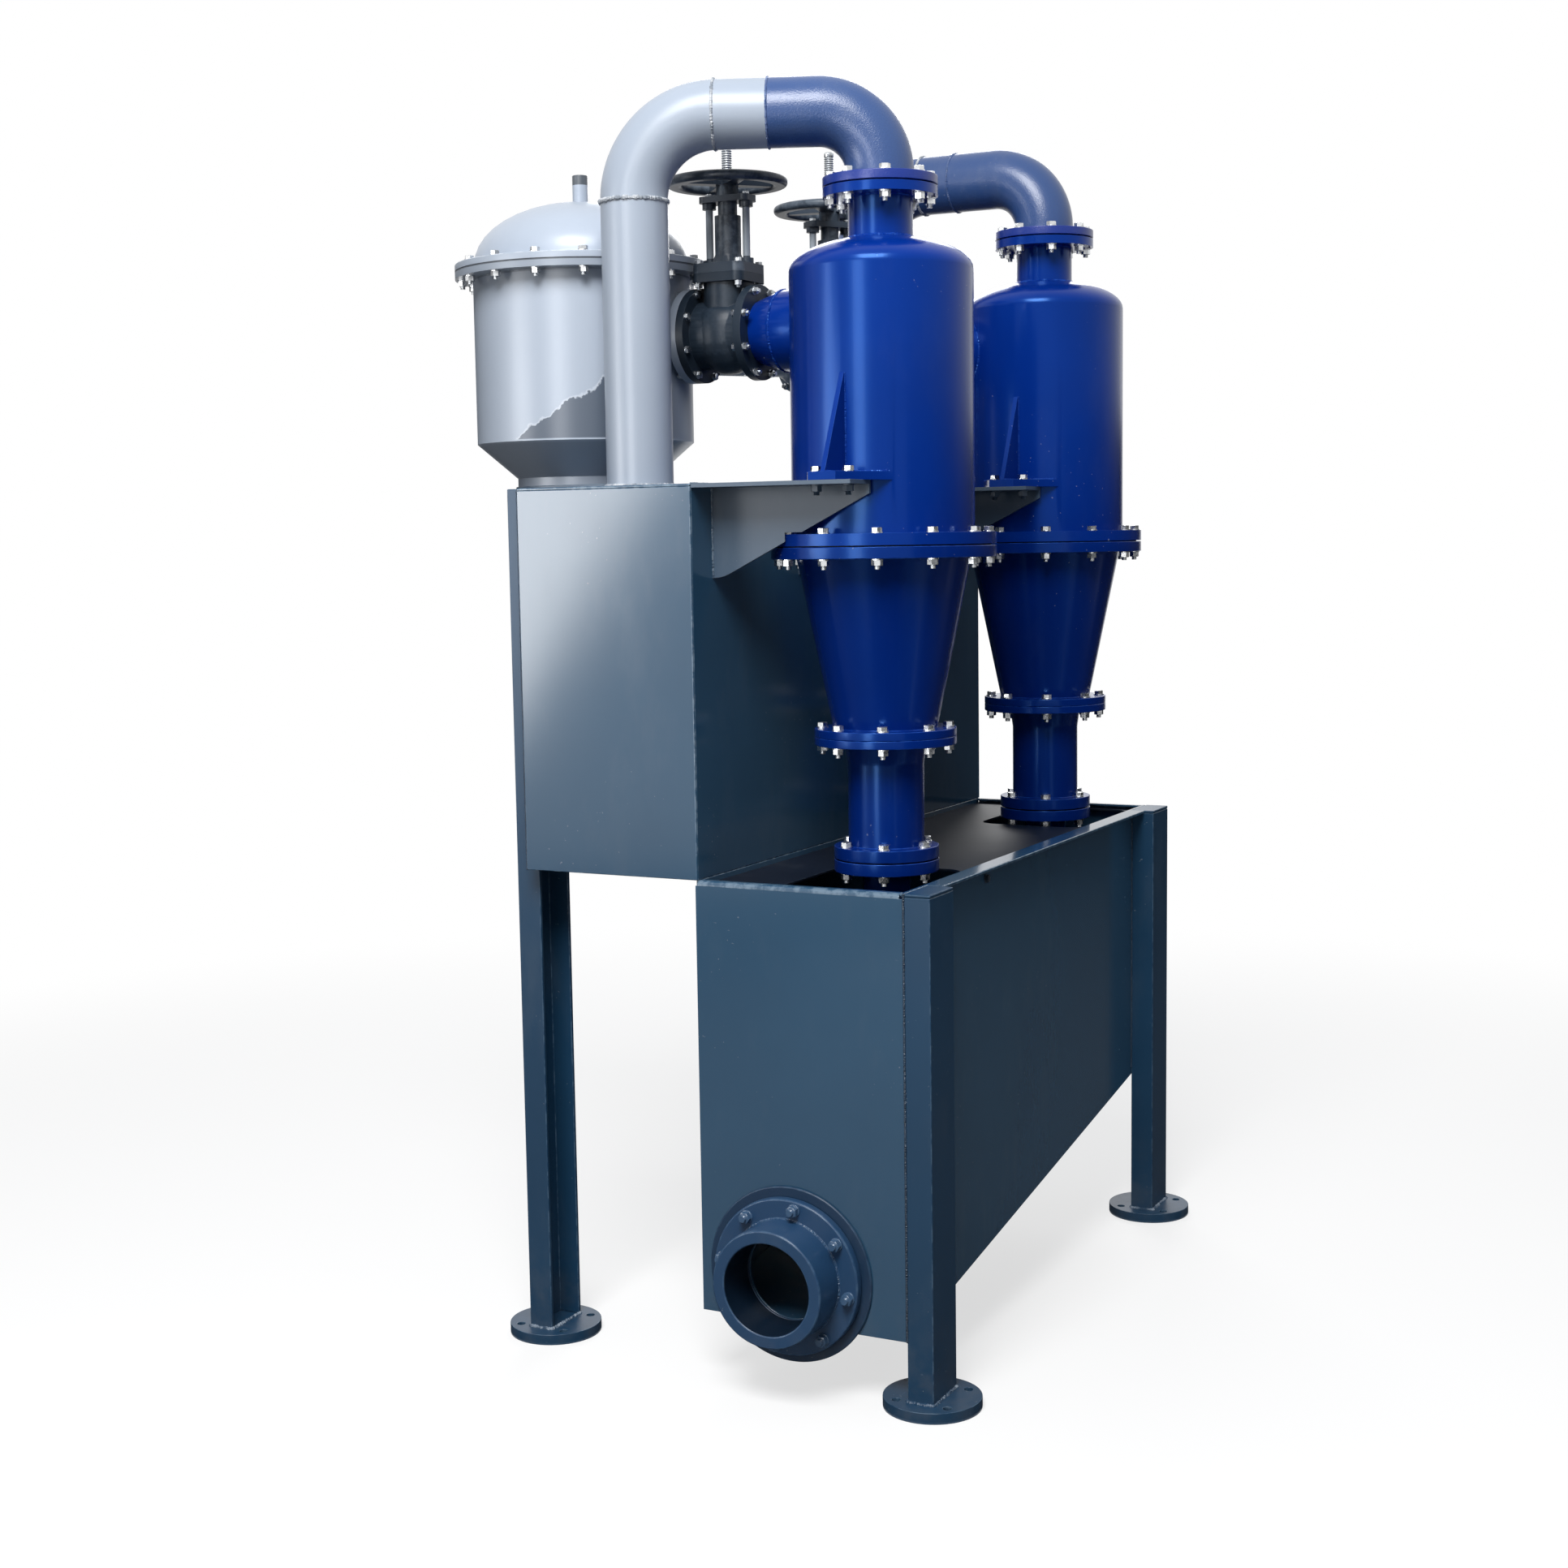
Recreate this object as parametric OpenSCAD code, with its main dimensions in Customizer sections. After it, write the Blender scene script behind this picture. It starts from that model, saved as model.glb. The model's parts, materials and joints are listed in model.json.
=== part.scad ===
// Twin hydrocyclone unit: two cyclones hang on brackets beside an overflow tank
// and drop their sand into an open underflow tank. Millimetres, +Z up, front at -Y.
// Plan positions are given from the outer faces of the right legs (x) and the tank front (y).

/* [Frame] */
// Distance over the outer faces of the left and right legs
frame_w = 1194; // [1100:2:1300]
// Length of both tanks from front to rear
tank_len = 1858; // [1780:2:2000]
// Depth of the leg channels
leg_d = 144; // [120:2:160]
// Flange width of the leg channels
leg_b = 68; // [60:1:75]
// Web thickness of the leg channels
leg_web_t = 8; // [6:0.5:10]
// Flange thickness of the leg channels
leg_flange_t = 10; // [7:0.5:12]
// Set-back of the left legs from the tank ends
left_leg_set = 58; // [40:1:80]
// Diameter of the round foot plates
foot_d = 244; // [236:1:260]
// Thickness of the foot plates
foot_t = 28; // [20:1:32]
// Bolt circle of the foot plates
foot_pcd = 190; // [186:1:196]
// Diameter of the foot bolt holes
foot_hole_d = 22; // [16:1:26]
// Thickness of the caps on the right legs
cap_t = 8; // [6:1:12]

/* [Underflow tank] */
// Height of the tank rim above the ground
rim_h = 1272; // [1240:2:1300]
// Distance from the right leg faces to the wall that both tanks share
split_x = 624; // [610:1:640]
// Thickness of the tank plates
wall_t = 6; // [5:0.5:8]
// Height of the tank floor at the front wall
floor_front_h = 177; // [160:1:185]
// Height of the tank floor at the rear wall
floor_rear_h = 473; // [400:1:520]
// Width of the folded lip on the front and rear walls
lip_w = 26; // [20:1:34]
// Outer bend radius of the folded lip
lip_r = 13; // [10:0.5:16]
// Width of the flat rim bar on the right wall
rim_bar_w = 52; // [40:1:60]
// Overhang of the rim bar over the inner face of the right wall
rim_bar_lip = 6; // [4:1:10]
// Depth of the deck plate below the rim
deck_drop = 14; // [12:1:20]
// Gap between a deck opening and the tank end wall
deck_open_end = 34; // [28:1:50]
// Length of each deck opening
deck_open_l = 450; // [440:1:470]
// Width of each deck opening
deck_open_w = 330; // [310:1:350]
// Corner radius of the deck openings
deck_open_r = 60; // [40:1:80]

/* [Outlet] */
// Distance of the outlet axis from the right leg faces
outlet_x = 380; // [360:1:390]
// Height of the outlet axis
outlet_h = 305; // [302:1:330]
// Bore of the outlet
outlet_bore = 228; // [200:1:232]
// Outside diameter of the outlet stub
outlet_stub_d = 294; // [270:1:310]
// Reach of the outlet stub in front of its flange
outlet_stub_l = 103; // [80:1:120]
// Diameter of the outlet flange
outlet_flange_d = 395; // [380:1:405]
// Thickness of the outlet flange
outlet_flange_t = 26; // [20:1:32]
// Diameter of the pad ring on the front wall
pad_d = 444; // [430:1:450]
// Thickness of the pad ring
pad_t = 8; // [6:1:12]

/* [Cyclones] */
// Distance of the cyclone axes from the right leg faces
cyc_x = 270; // [262:1:280]
// Distance of each cyclone axis from the nearer tank end
cyc_end = 353; // [345:1:362]
// Outside diameter of the cyclone cylinder
cyl_d = 456; // [446:1:462]
// Wall thickness of the cyclones
cyc_wall = 8; // [6:0.5:12]
// Length of the cylinder from its lower joint to the shoulder of the dished top
cyl_l = 672; // [650:1:700]
// Rise of the dished top
dish_h = 84; // [70:1:95]
// Outside diameter of the overflow neck
neck_d = 160; // [150:1:165]
// Length of the neck from the dished top to the overflow joint
neck_l = 117.5; // [100:0.5:135]
// Diameter of the overflow flange
top_flange_d = 284; // [275:1:295]
// Thickness of each overflow flange
top_flange_t = 23; // [18:1:28]
// Overhang of the flange between cylinder and cone
main_flange_w = 54; // [48:1:58]
// Thickness of each main flange
main_flange_t = 29; // [22:1:32]
// Thickness of the gaskets
gasket_t = 3; // [2:0.5:5]
// Set-back of the gaskets from the flange rims
gasket_in = 14; // [8:1:18]
// Outside diameter of the cone at its top
cone_top_d = 436; // [425:1:440]
// Outside diameter of the cone at its bottom
cone_bot_d = 262; // [250:1:270]
// Length of the cone from joint to joint
cone_l = 476; // [440:1:500]
// Diameter of the flange between cone and spigot
cone_flange_d = 358; // [345:1:370]
// Thickness of each cone flange
cone_flange_t = 21; // [16:1:24]
// Outside diameter of the spigot
spigot_d = 192; // [184:1:198]
// Outside diameter of the flared spigot top
spigot_top_d = 206; // [200:1:214]
// Height of the flared spigot top
spigot_flare_h = 50; // [40:1:70]
// Length of the spigot from joint to joint
spigot_l = 310; // [280:1:340]
// Height of the lower spigot joint above the tank rim
apex_up = 30; // [24:1:40]
// Diameter of the spigot flange
apex_flange_d = 266; // [255:1:275]
// Thickness of each spigot flange
apex_flange_t = 31; // [24:1:33]
// Outside diameter of the apex nozzle
apex_d = 122; // [110:1:130]
// Reach of the apex nozzle below its flange
apex_l = 120; // [90:1:140]
// Height of the bracket lugs above the lower cylinder joint
lug_up = 157; // [140:1:175]
// Width of the bracket lugs at the cylinder
lug_w = 230; // [200:1:250]
// Width of the bracket lugs at their tip
lug_tip_w = 72; // [60:1:90]
// Thickness of the bracket lugs
lug_t = 20; // [16:1:24]
// Reach of the lugs beyond the cylinder
lug_reach = 121; // [110:1:123]
// Distance of the two lug bolts from the gusset
lug_bolt_off = 42; // [36:1:44]
// Diameter of the lug bolt holes
lug_hole_d = 22; // [18:1:24]
// Height of the gusset on each lug
lug_gusset_h = 235; // [200:1:260]
// Thickness of the lug gussets
lug_gusset_t = 12; // [8:1:16]

/* [Brackets] */
// Reach of the bracket arms from the overflow tank
arm_reach = 428; // [415:1:445]
// Depth of the arms at the tank
arm_root_h = 231; // [200:1:250]
// Depth of the arms at the tip
arm_tip_h = 32; // [26:1:45]
// Thickness of the arm plates
arm_t = 10; // [8:1:14]
// Clearance between the arms and the cylinder
arm_gap = 5; // [4:0.5:10]
// Radius of the lower corner of the arms at the tank
arm_curve_r = 110; // [80:5:140]

/* [Overflow pipes] */
// Outside diameter of the overflow pipes
pipe_d = 168; // [160:1:172]
// Wall thickness of the pipes
pipe_wall = 6; // [5:0.5:8]
// Straight length of the overflow pipe between its joint and the bend
goose_stub_l = 33; // [28:1:50]
// Bend radius above the cyclone
goose_r1 = 152; // [146:1:155]
// Bend radius above the overflow tank
goose_r2 = 205; // [180:1:225]
// Length of the blue level piece beside the bend
goose_blue_l = 120; // [80:1:150]
// Distance of the front riser from the left leg faces
riser_front_in = 361; // [349:1:374]
// Distance of the front riser from the tank front
riser_front_y = 120; // [110:1:130]
// Distance of the rear riser from the left leg faces
riser_rear_in = 344; // [329:1:359]

/* [Feed vessel] */
// Distance of the vessel axis from the left leg faces
vessel_in = 20; // [9:1:29]
// Distance of the vessel axis from the tank front
vessel_y = 415; // [405:1:425]
// Outside diameter of the vessel
vessel_d = 580; // [565:1:590]
// Wall thickness of the vessel
vessel_wall = 8; // [6:0.5:12]
// Diameter of the vessel flanges
vessel_flange_d = 674; // [660:1:680]
// Thickness of each vessel flange
vessel_flange_t = 19; // [15:0.5:24]
// Height of the joint under the lid above the feed lines
lid_up = 182; // [165:1:200]
// Height of the dished lid above its flange
lid_dish_h = 163; // [145:1:180]
// Height of the cone under the vessel
vessel_cone_h = 91; // [75:1:110]
// Diameter of the base ring
base_d = 370; // [355:1:380]
// Height of the base ring
base_h = 22; // [16:1:28]
// Thickness of the shelf plate under the vessel
shelf_t = 12; // [10:1:16]
// Width of the margin of the shelf around the base ring
shelf_margin = 6; // [4:1:12]
// Reach of the shelf over the tank roof
shelf_lap = 150; // [130:1:165]
// Depth of the shelf gussets at the tank
shelf_gusset_h = 190; // [150:1:230]
// Diameter of the stub on the lid
stub_d = 41; // [36:1:46]
// Height of the stub on the lid
stub_h = 72; // [60:1:80]

/* [Feed lines] */
// Depth of the feed lines below the shoulder of the cyclones
feed_drop = 120; // [112:1:130]
// Sideways offset of the feed lines from the cyclone axes
feed_off = 100; // [90:1:108]
// Distance from the vessel axis to the front valve
front_valve_at = 424; // [418:1:430]
// Distance from the vessel axis to the rear valve
rear_valve_at = 755; // [735:1:775]
// Outside diameter of the feed pipes at the valves
feed_d = 160; // [150:1:168]
// Outside diameter of the cyclone inlet
inlet_d = 208; // [200:1:216]
// Length of the taper between feed pipe and inlet
inlet_taper_l = 70; // [60:1:80]
// Length of the tapered hub behind each branch flange
hub_l = 40; // [30:1:44]
// Diameter of the tapered hub at the branch flange
hub_d = 206; // [196:1:214]
// Diameter of the valve flanges
valve_flange_d = 244; // [236:1:255]
// Thickness of the valve flanges
valve_flange_t = 22; // [18:1:26]
// Length of the valves over their flanges
valve_l = 190; // [184:1:196]

/* [Valves] */
// Diameter of the valve barrel
barrel_d = 176; // [170:1:185]
// Diameter of the round belly of the valve
belly_d = 190; // [180:1:200]
// Depth of the belly below the feed line
belly_drop = 104; // [98:1:110]
// Diameter of the valve neck
valve_neck_d = 132; // [124:1:138]
// Height of the bonnet joint above the feed line
bonnet_joint_h = 154; // [150:1:160]
// Side of the square bonnet flange
bonnet_w = 148; // [142:1:156]
// Thickness of each bonnet flange
bonnet_t = 24; // [20:1:28]
// Diameter of the yoke column
column_d = 68; // [62:1:72]
// Diameter of the slimmer top of the yoke column
column_top_d = 50; // [44:1:56]
// Height of the slimmer top of the yoke column
column_top_h = 34; // [28:1:44]
// Diameter of the flared foot of the yoke column
column_foot_d = 92; // [82:1:100]
// Height of the flared foot of the yoke column
column_foot_h = 26; // [20:1:34]
// Height of the yoke crosshead top above the feed line
crosshead_h = 352; // [345:1:360]
// Thickness of the yoke crosshead
crosshead_t = 16; // [12:1:20]
// Distance between the two pillar rods
pillar_span = 108; // [104:1:112]
// Diameter of the pillar rods
pillar_d = 19; // [16:1:22]
// Diameter of the bosses at the pillar ends
boss_d = 36; // [30:1:40]
// Height of the bosses at the pillar ends
boss_h = 14; // [10:1:18]
// Diameter of the valve stem
stem_d = 27; // [24:1:30]
// Height of the stem top above the feed line
stem_top_h = 545; // [530:1:560]
// Travel of the valve stem
stem_travel = 150; // [120:5:160]
// Running clearance around the stem
stem_gap = 0.3; // [0.2:0.05:0.5]
// Outside diameter of the handwheel
wheel_d = 314; // [300:1:320]
// Width of the handwheel rim section
wheel_rim_w = 40; // [32:1:46]
// Height of the handwheel rim section
wheel_rim_h = 24; // [20:1:28]
// Width of each handwheel spoke at the hub
spoke_w = 40; // [34:1:46]
// Width of each handwheel spoke at the rim
spoke_tip_w = 26; // [20:1:32]
// Thickness of the handwheel spokes
spoke_t = 14; // [10:1:18]
// Height of the handwheel hub
wheel_hub_h = 46; // [40:1:52]
// Diameter of the handwheel hub
wheel_hub_d = 58; // [52:1:64]

/* [Hidden] */
$fn = 64;

tank_blue = [0.20, 0.32, 0.42];
royal_blue = [0.05, 0.17, 0.53];
dusty_blue = [0.28, 0.37, 0.57];
pipe_grey = [0.72, 0.75, 0.79];
valve_grey = [0.22, 0.24, 0.27];
gasket_black = [0.08, 0.08, 0.09];
steel = [0.62, 0.63, 0.64];

cyl_r = cyl_d / 2;
main_flange_d = cyl_d + 2 * main_flange_w;
pipe_r = pipe_d / 2;
vessel_r = vessel_d / 2;
feed_r = feed_d / 2;
inlet_r = inlet_d / 2;
stem_r = stem_d / 2;
upper_left_x = frame_w - leg_b;
vessel_x = frame_w - vessel_in;
apex_joint_h = rim_h + apex_up;
cone_joint_h = apex_joint_h + spigot_l;
joint_h = cone_joint_h + cone_l;
shoulder_h = joint_h + cyl_l;
top_joint_h = shoulder_h + dish_h + neck_l;
roof_h = joint_h + lug_up;
feed_h = shoulder_h - feed_drop;
lid_joint_h = feed_h + lid_up;
goose_h = top_joint_h + gasket_t / 2 + goose_stub_l + goose_r1;
outlet_front = pad_t + outlet_flange_t + outlet_stub_l;
cyc_front = [-cyc_x, cyc_end];
cyc_rear = [-cyc_x, tank_len - cyc_end];
riser_front = [riser_front_in - frame_w, riser_front_y];
riser_rear = [riser_rear_in - frame_w, tank_len - cyc_end];
vessel_at = [-vessel_x, vessel_y];
front_feed_off = cyc_front.y + feed_off - vessel_y;
rear_run = cyc_rear - vessel_at;
rear_feed_ang = atan2(rear_run.y, rear_run.x) + asin(feed_off / norm(rear_run));
deck_z = rim_h - deck_drop;
right_wall_x = leg_b + wall_t;
shelf_r = base_d / 2 + shelf_margin;
lid_z = lid_joint_h + vessel_flange_t;
base_z = roof_h + shelf_t;
vessel_shoulder_h = base_z + base_h + vessel_cone_h;
lug_bolt_at = cyl_r + (lug_reach + arm_gap) / 2;
arm_strip_w = lug_reach - arm_gap;

// The origin lies under the middle of the whole unit
x_min = -vessel_x - vessel_flange_d / 2;
x_max = foot_d / 2 - leg_b / 2;
y_min = -outlet_front;
y_max = tank_len - leg_d / 2 + foot_d / 2;
plan_shift = [-(x_min + x_max) / 2, -(y_min + y_max) / 2, 0];

module plan() { translate(plan_shift) children(); }

// A box given by its low and high corners
module box(lo, hi) { translate(lo) cube(hi - lo); }

// A plate with its outline in the y-z plane, from x = lo over a thickness t
module side_plate(lo, t, outline) { translate([lo, 0, 0]) rotate([90, 0, 90]) linear_extrude(t) polygon(outline); }

// A plate with its outline in the x-z plane, from y = lo over a thickness t
module cross_plate(lo, t, outline) { translate([0, lo + t, 0]) rotate([90, 0, 0]) linear_extrude(t) polygon(outline); }

// A straight pipe along +Z
module tube(r, wall, h) {
  difference() {
    cylinder(r = r, h = h);
    translate([0, 0, -1]) cylinder(r = r - wall, h = h + 2);
  }
}

// A quarter bend in the x-z plane about the origin, from the angle a0
module bend(radius, r, wall, a0) {
  rotate([90, -a0, 0]) rotate_extrude(angle = 90) translate([radius, 0]) difference() {
    circle(r = r);
    circle(r = r - wall);
  }
}

// A rounded rectangle centred on the origin
module round_rect(w, l, r) {
  square([w - 2 * r, l], center = true);
  square([w, l - 2 * r], center = true);
  for (sx = [-1, 1], sy = [-1, 1]) translate([sx * (w / 2 - r), sy * (l / 2 - r)]) circle(r = r);
}

// Frame

// A leg channel with its web on the outer side, facing +X, from z0 to z1
module channel(z0, z1) {
  difference() {
    box([-leg_b, 0, z0], [0, leg_d, z1]);
    box([-leg_b - 1, leg_flange_t, z0 - 1], [-leg_web_t, leg_d - leg_flange_t, z1 + 1]);
  }
}

module right_leg(y) { color(tank_blue) plan() translate([0, y, 0]) channel(foot_t, rim_h - cap_t); }

module left_leg(y) {
  color(tank_blue) plan() translate([-frame_w, y, 0]) mirror([1, 0, 0]) channel(foot_t, roof_h);
}

module front_right_leg() { right_leg(0); }

module rear_right_leg() { right_leg(tank_len - leg_d); }

module front_left_leg() { left_leg(left_leg_set); }

module rear_left_leg() { left_leg(tank_len - left_leg_set - leg_d); }

module foot() {
  difference() {
    cylinder(d = foot_d, h = foot_t);
    for (a = [45 : 90 : 315]) rotate(a) translate([foot_pcd / 2, 0, -1]) cylinder(d = foot_hole_d, h = foot_t + 2);
  }
}

module foot_plates() {
  color(tank_blue) plan() {
    for (y = [leg_d / 2, tank_len - leg_d / 2]) translate([-leg_b / 2, y, 0]) foot();
    for (y = [left_leg_set + leg_d / 2, tank_len - left_leg_set - leg_d / 2])
      translate([leg_b / 2 - frame_w, y, 0]) foot();
  }
}

module leg_caps() {
  color(tank_blue) plan() for (y = [0, tank_len - leg_d])
    box([-leg_b, y, rim_h - cap_t], [0, y + leg_d, rim_h]);
}

// Underflow tank

function floor_z(y) = floor_front_h + (floor_rear_h - floor_front_h) * (y - wall_t) / (tank_len - 2 * wall_t);

// An end wall, seen from its inner side, with its top edge folded inwards between the side walls
module end_wall(floor_h) {
  box([-split_x - wall_t, 0, floor_h], [-leg_b, wall_t, rim_h - lip_r]);
  translate([-split_x, 0, rim_h - lip_r]) rotate([90, 0, 90]) linear_extrude(split_x - right_wall_x - rim_bar_lip) {
    translate([lip_r, 0]) intersection() {
      difference() {
        circle(r = lip_r);
        circle(r = lip_r - wall_t);
      }
      translate([-lip_r, 0]) square(lip_r);
    }
    translate([lip_r, lip_r - wall_t]) square([lip_w - lip_r, wall_t]);
  }
}

module lower_front_wall() {
  color(tank_blue) plan() difference() {
    end_wall(floor_front_h);
    translate([-outlet_x, -1, outlet_h]) rotate([-90, 0, 0]) cylinder(d = outlet_bore, h = wall_t + 2);
  }
}

module lower_rear_wall() {
  color(tank_blue) plan() translate([0, tank_len, 0]) mirror([0, 1, 0]) end_wall(floor_rear_h);
}

module lower_side(lo, top) {
  side_plate(lo, wall_t, [[wall_t, floor_z(wall_t)], [tank_len - wall_t, floor_z(tank_len - wall_t)],
    [tank_len - wall_t, top], [wall_t, top]]);
}

module lower_left_wall() { color(tank_blue) plan() lower_side(-split_x - wall_t, rim_h); }

module lower_right_wall() { color(tank_blue) plan() lower_side(-right_wall_x, rim_h - cap_t); }

module lower_floor() {
  color(tank_blue) plan() side_plate(-split_x, split_x - right_wall_x,
    [[wall_t, floor_z(wall_t)], [tank_len - wall_t, floor_z(tank_len - wall_t)],
    [tank_len - wall_t, floor_z(tank_len - wall_t) + wall_t], [wall_t, floor_z(wall_t) + wall_t]]);
}

// The deck under the cyclones has a rounded opening below each apex
module lower_deck() {
  deck_l = tank_len - 2 * wall_t;
  open_y = wall_t + deck_open_end + deck_open_l / 2;
  color(tank_blue) plan() translate([0, 0, deck_z - wall_t]) linear_extrude(wall_t) difference() {
    translate([-split_x, wall_t]) square([split_x - right_wall_x, deck_l]);
    for (y = [open_y, tank_len - open_y]) translate([-cyc_x, y]) round_rect(deck_open_w, deck_open_l, deck_open_r);
  }
}

module rim_bar() {
  color(tank_blue) plan() {
    box([-right_wall_x - rim_bar_lip, wall_t, rim_h - cap_t], [-leg_b, tank_len - wall_t, rim_h]);
    box([-leg_b, leg_d, rim_h - cap_t], [rim_bar_w - right_wall_x - rim_bar_lip, tank_len - leg_d, rim_h]);
  }
}

module outlet_axis(y) { translate([-outlet_x, y, outlet_h]) rotate([-90, 0, 0]) children(); }

module outlet_pad() { color(tank_blue) plan() outlet_axis(-pad_t) tube(pad_d / 2, (pad_d - outlet_bore) / 2, pad_t); }

module outlet_spout() {
  color(tank_blue) plan() outlet_axis(-outlet_front) difference() {
    union() {
      cylinder(d = outlet_stub_d, h = outlet_stub_l + 1);
      translate([0, 0, outlet_stub_l]) cylinder(d = outlet_flange_d, h = outlet_flange_t);
    }
    translate([0, 0, -1]) cylinder(d = outlet_bore, h = outlet_front + 2);
  }
}

// Overflow tank

module upper_front_wall() {
  color(tank_blue) plan() box([-upper_left_x, 0, rim_h], [-split_x, wall_t, roof_h - wall_t]);
}

module upper_rear_wall() {
  color(tank_blue) plan() box([-upper_left_x, tank_len - wall_t, rim_h], [-split_x, tank_len, roof_h - wall_t]);
}

module upper_left_wall() {
  color(tank_blue) plan() box([-upper_left_x, wall_t, rim_h], [wall_t - upper_left_x, tank_len - wall_t, roof_h - wall_t]);
}

module upper_right_wall() {
  color(tank_blue) plan() box([-split_x - wall_t, wall_t, rim_h], [-split_x, tank_len - wall_t, roof_h - wall_t]);
}

module upper_roof() {
  color(tank_blue) plan() difference() {
    box([-upper_left_x, 0, roof_h - wall_t], [-split_x, tank_len, roof_h]);
    for (p = [riser_front, riser_rear]) translate([p.x, p.y, roof_h - 2 * wall_t])
      cylinder(r = pipe_r - pipe_wall, h = 3 * wall_t);
  }
}

module upper_floor() {
  color(tank_blue) plan() box([wall_t - upper_left_x, wall_t, rim_h],
    [-split_x - wall_t, tank_len - wall_t, rim_h + wall_t]);
}

// Bracket arms pass on both sides of each cyclone cylinder

// Lower edge of an arm: a curve at the tank that runs into the straight slope to the tip
function arm_edge() = let (slope = atan2(arm_root_h - arm_tip_h, arm_reach))
  [for (i = [0 : 6]) let (a = slope * i / 6) [arm_curve_r * sin(a), arm_root_h - arm_curve_r * (1 - cos(a))]];

module arm(c, side) {
  near = c.y + side * (cyl_r + arm_gap);
  far = near + side * arm_strip_w;
  strip_lo = min(near, far);
  web_lo = side < 0 ? near - arm_t : near;
  flange_top = joint_h + gasket_t / 2 + main_flange_t;
  box([-split_x, strip_lo, roof_h - arm_t], [arm_reach - split_x, strip_lo + arm_strip_w, roof_h]);
  difference() {
    cross_plate(web_lo, arm_t, [for (p = concat([[0, arm_t]], arm_edge(), [[arm_reach, arm_tip_h], [arm_reach, arm_t]]))
      [p.x - split_x, roof_h - p.y]]);
    translate([c.x, c.y, flange_top - roof_h]) cylinder(d = main_flange_d + 2 * arm_gap, h = roof_h + arm_gap);
  }
}

// The arms have bolt holes under the lugs
module bracket_arms() {
  color(tank_blue) plan() for (c = [cyc_front, cyc_rear], side = [-1, 1]) difference() {
    arm(c, side);
    lug_holes(c, side, roof_h - arm_t);
  }
}

// Cyclones

function dish(r, rise, z, r_end) = let (t_end = acos(r_end / r))
  [for (i = [0 : 10]) [r * cos(t_end * i / 10), z + rise * sin(t_end * i / 10)]];

function reverse(v) = [for (i = [len(v) - 1 : -1 : 0]) v[i]];

module cyclone_shell() {
  neck_r = neck_d / 2;
  neck_top = top_joint_h - gasket_t / 2;
  bottom = joint_h + gasket_t / 2;
  bore = neck_r - cyc_wall;
  inner = cyl_r - cyc_wall;
  outside = concat([[cyl_r, bottom + main_flange_t]], dish(cyl_r, dish_h, shoulder_h, neck_r),
    [[neck_r, neck_top - top_flange_t], [top_flange_d / 2, neck_top - top_flange_t], [top_flange_d / 2, neck_top]]);
  inside = concat([[inner, bottom]], dish(inner, dish_h - cyc_wall, shoulder_h, bore), [[bore, neck_top]]);
  rotate_extrude() polygon(concat([[main_flange_d / 2, bottom], [main_flange_d / 2, bottom + main_flange_t]],
    outside, reverse(inside)));
}

// The pair of bolt holes through a lug and its arm
module lug_holes(c, side, z) {
  for (x = [-lug_bolt_off, lug_bolt_off]) translate([c.x + x, c.y + side * lug_bolt_at, z - 1])
    cylinder(d = lug_hole_d, h = arm_t + lug_t + 2);
}

// A lug that rests on a bracket arm tapers from the cylinder to its tip and has an upright gusset
module lug() {
  reach = cyl_r + lug_reach;
  root = sqrt(pow(cyl_r, 2) - pow(lug_w / 2, 2));
  gusset_foot = reach - arm_gap;
  difference() {
    union() {
      translate([0, 0, roof_h]) linear_extrude(lug_t) polygon([[-lug_tip_w / 2, -reach], [lug_tip_w / 2, -reach],
        [lug_w / 2, -root], [lug_w / 2, -cyl_r / 2], [-lug_w / 2, -cyl_r / 2], [-lug_w / 2, -root]]);
      side_plate(-lug_gusset_t / 2, lug_gusset_t, [[-gusset_foot, roof_h + lug_t],
        [-cyl_r / 2, roof_h + lug_t], [-cyl_r / 2, roof_h + lug_t + lug_gusset_h],
        [-cyl_r - arm_gap, roof_h + lug_t + lug_gusset_h]]);
    }
    translate([0, 0, roof_h - 1]) cylinder(r = cyl_r - cyc_wall / 2, h = lug_t + lug_gusset_h + 2);
    lug_holes([0, 0], -1, roof_h);
  }
}

// The head has the feed bore cut through the near side of its wall
module cyclone_head(c, ang, off) {
  reach = cyl_r + lug_reach;
  difference() {
    translate([c.x, c.y, 0]) {
      cyclone_shell();
      lug();
      rotate(180) lug();
    }
    feed_line(ang, off) translate([0, 0, along(c, ang) - reach]) cylinder(r = inlet_r - pipe_wall, h = reach);
  }
}

module cyclone_cone(c) {
  top = joint_h - gasket_t / 2;
  flare = top - main_flange_t;
  bottom = cone_joint_h;
  bore_top = cyl_r - cyc_wall;
  translate([c.x, c.y, 0]) rotate_extrude() polygon([[main_flange_d / 2, top], [main_flange_d / 2, flare],
    [cone_top_d / 2, flare], [cone_bot_d / 2, bottom + cone_flange_t], [cone_flange_d / 2, bottom + cone_flange_t],
    [cone_flange_d / 2, bottom], [spigot_d / 2 - cyc_wall, bottom], [bore_top - cyc_wall, flare], [bore_top, top]]);
}

module spigot(c) {
  top = cone_joint_h;
  bottom = apex_joint_h + gasket_t / 2;
  bore = spigot_d / 2 - cyc_wall;
  translate([c.x, c.y, 0]) rotate_extrude() polygon([[bore, top], [cone_flange_d / 2, top],
    [cone_flange_d / 2, top - cone_flange_t], [spigot_top_d / 2, top - cone_flange_t],
    [spigot_d / 2, top - cone_flange_t - spigot_flare_h], [spigot_d / 2, bottom + apex_flange_t],
    [apex_flange_d / 2, bottom + apex_flange_t], [apex_flange_d / 2, bottom], [bore, bottom]]);
}

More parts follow.
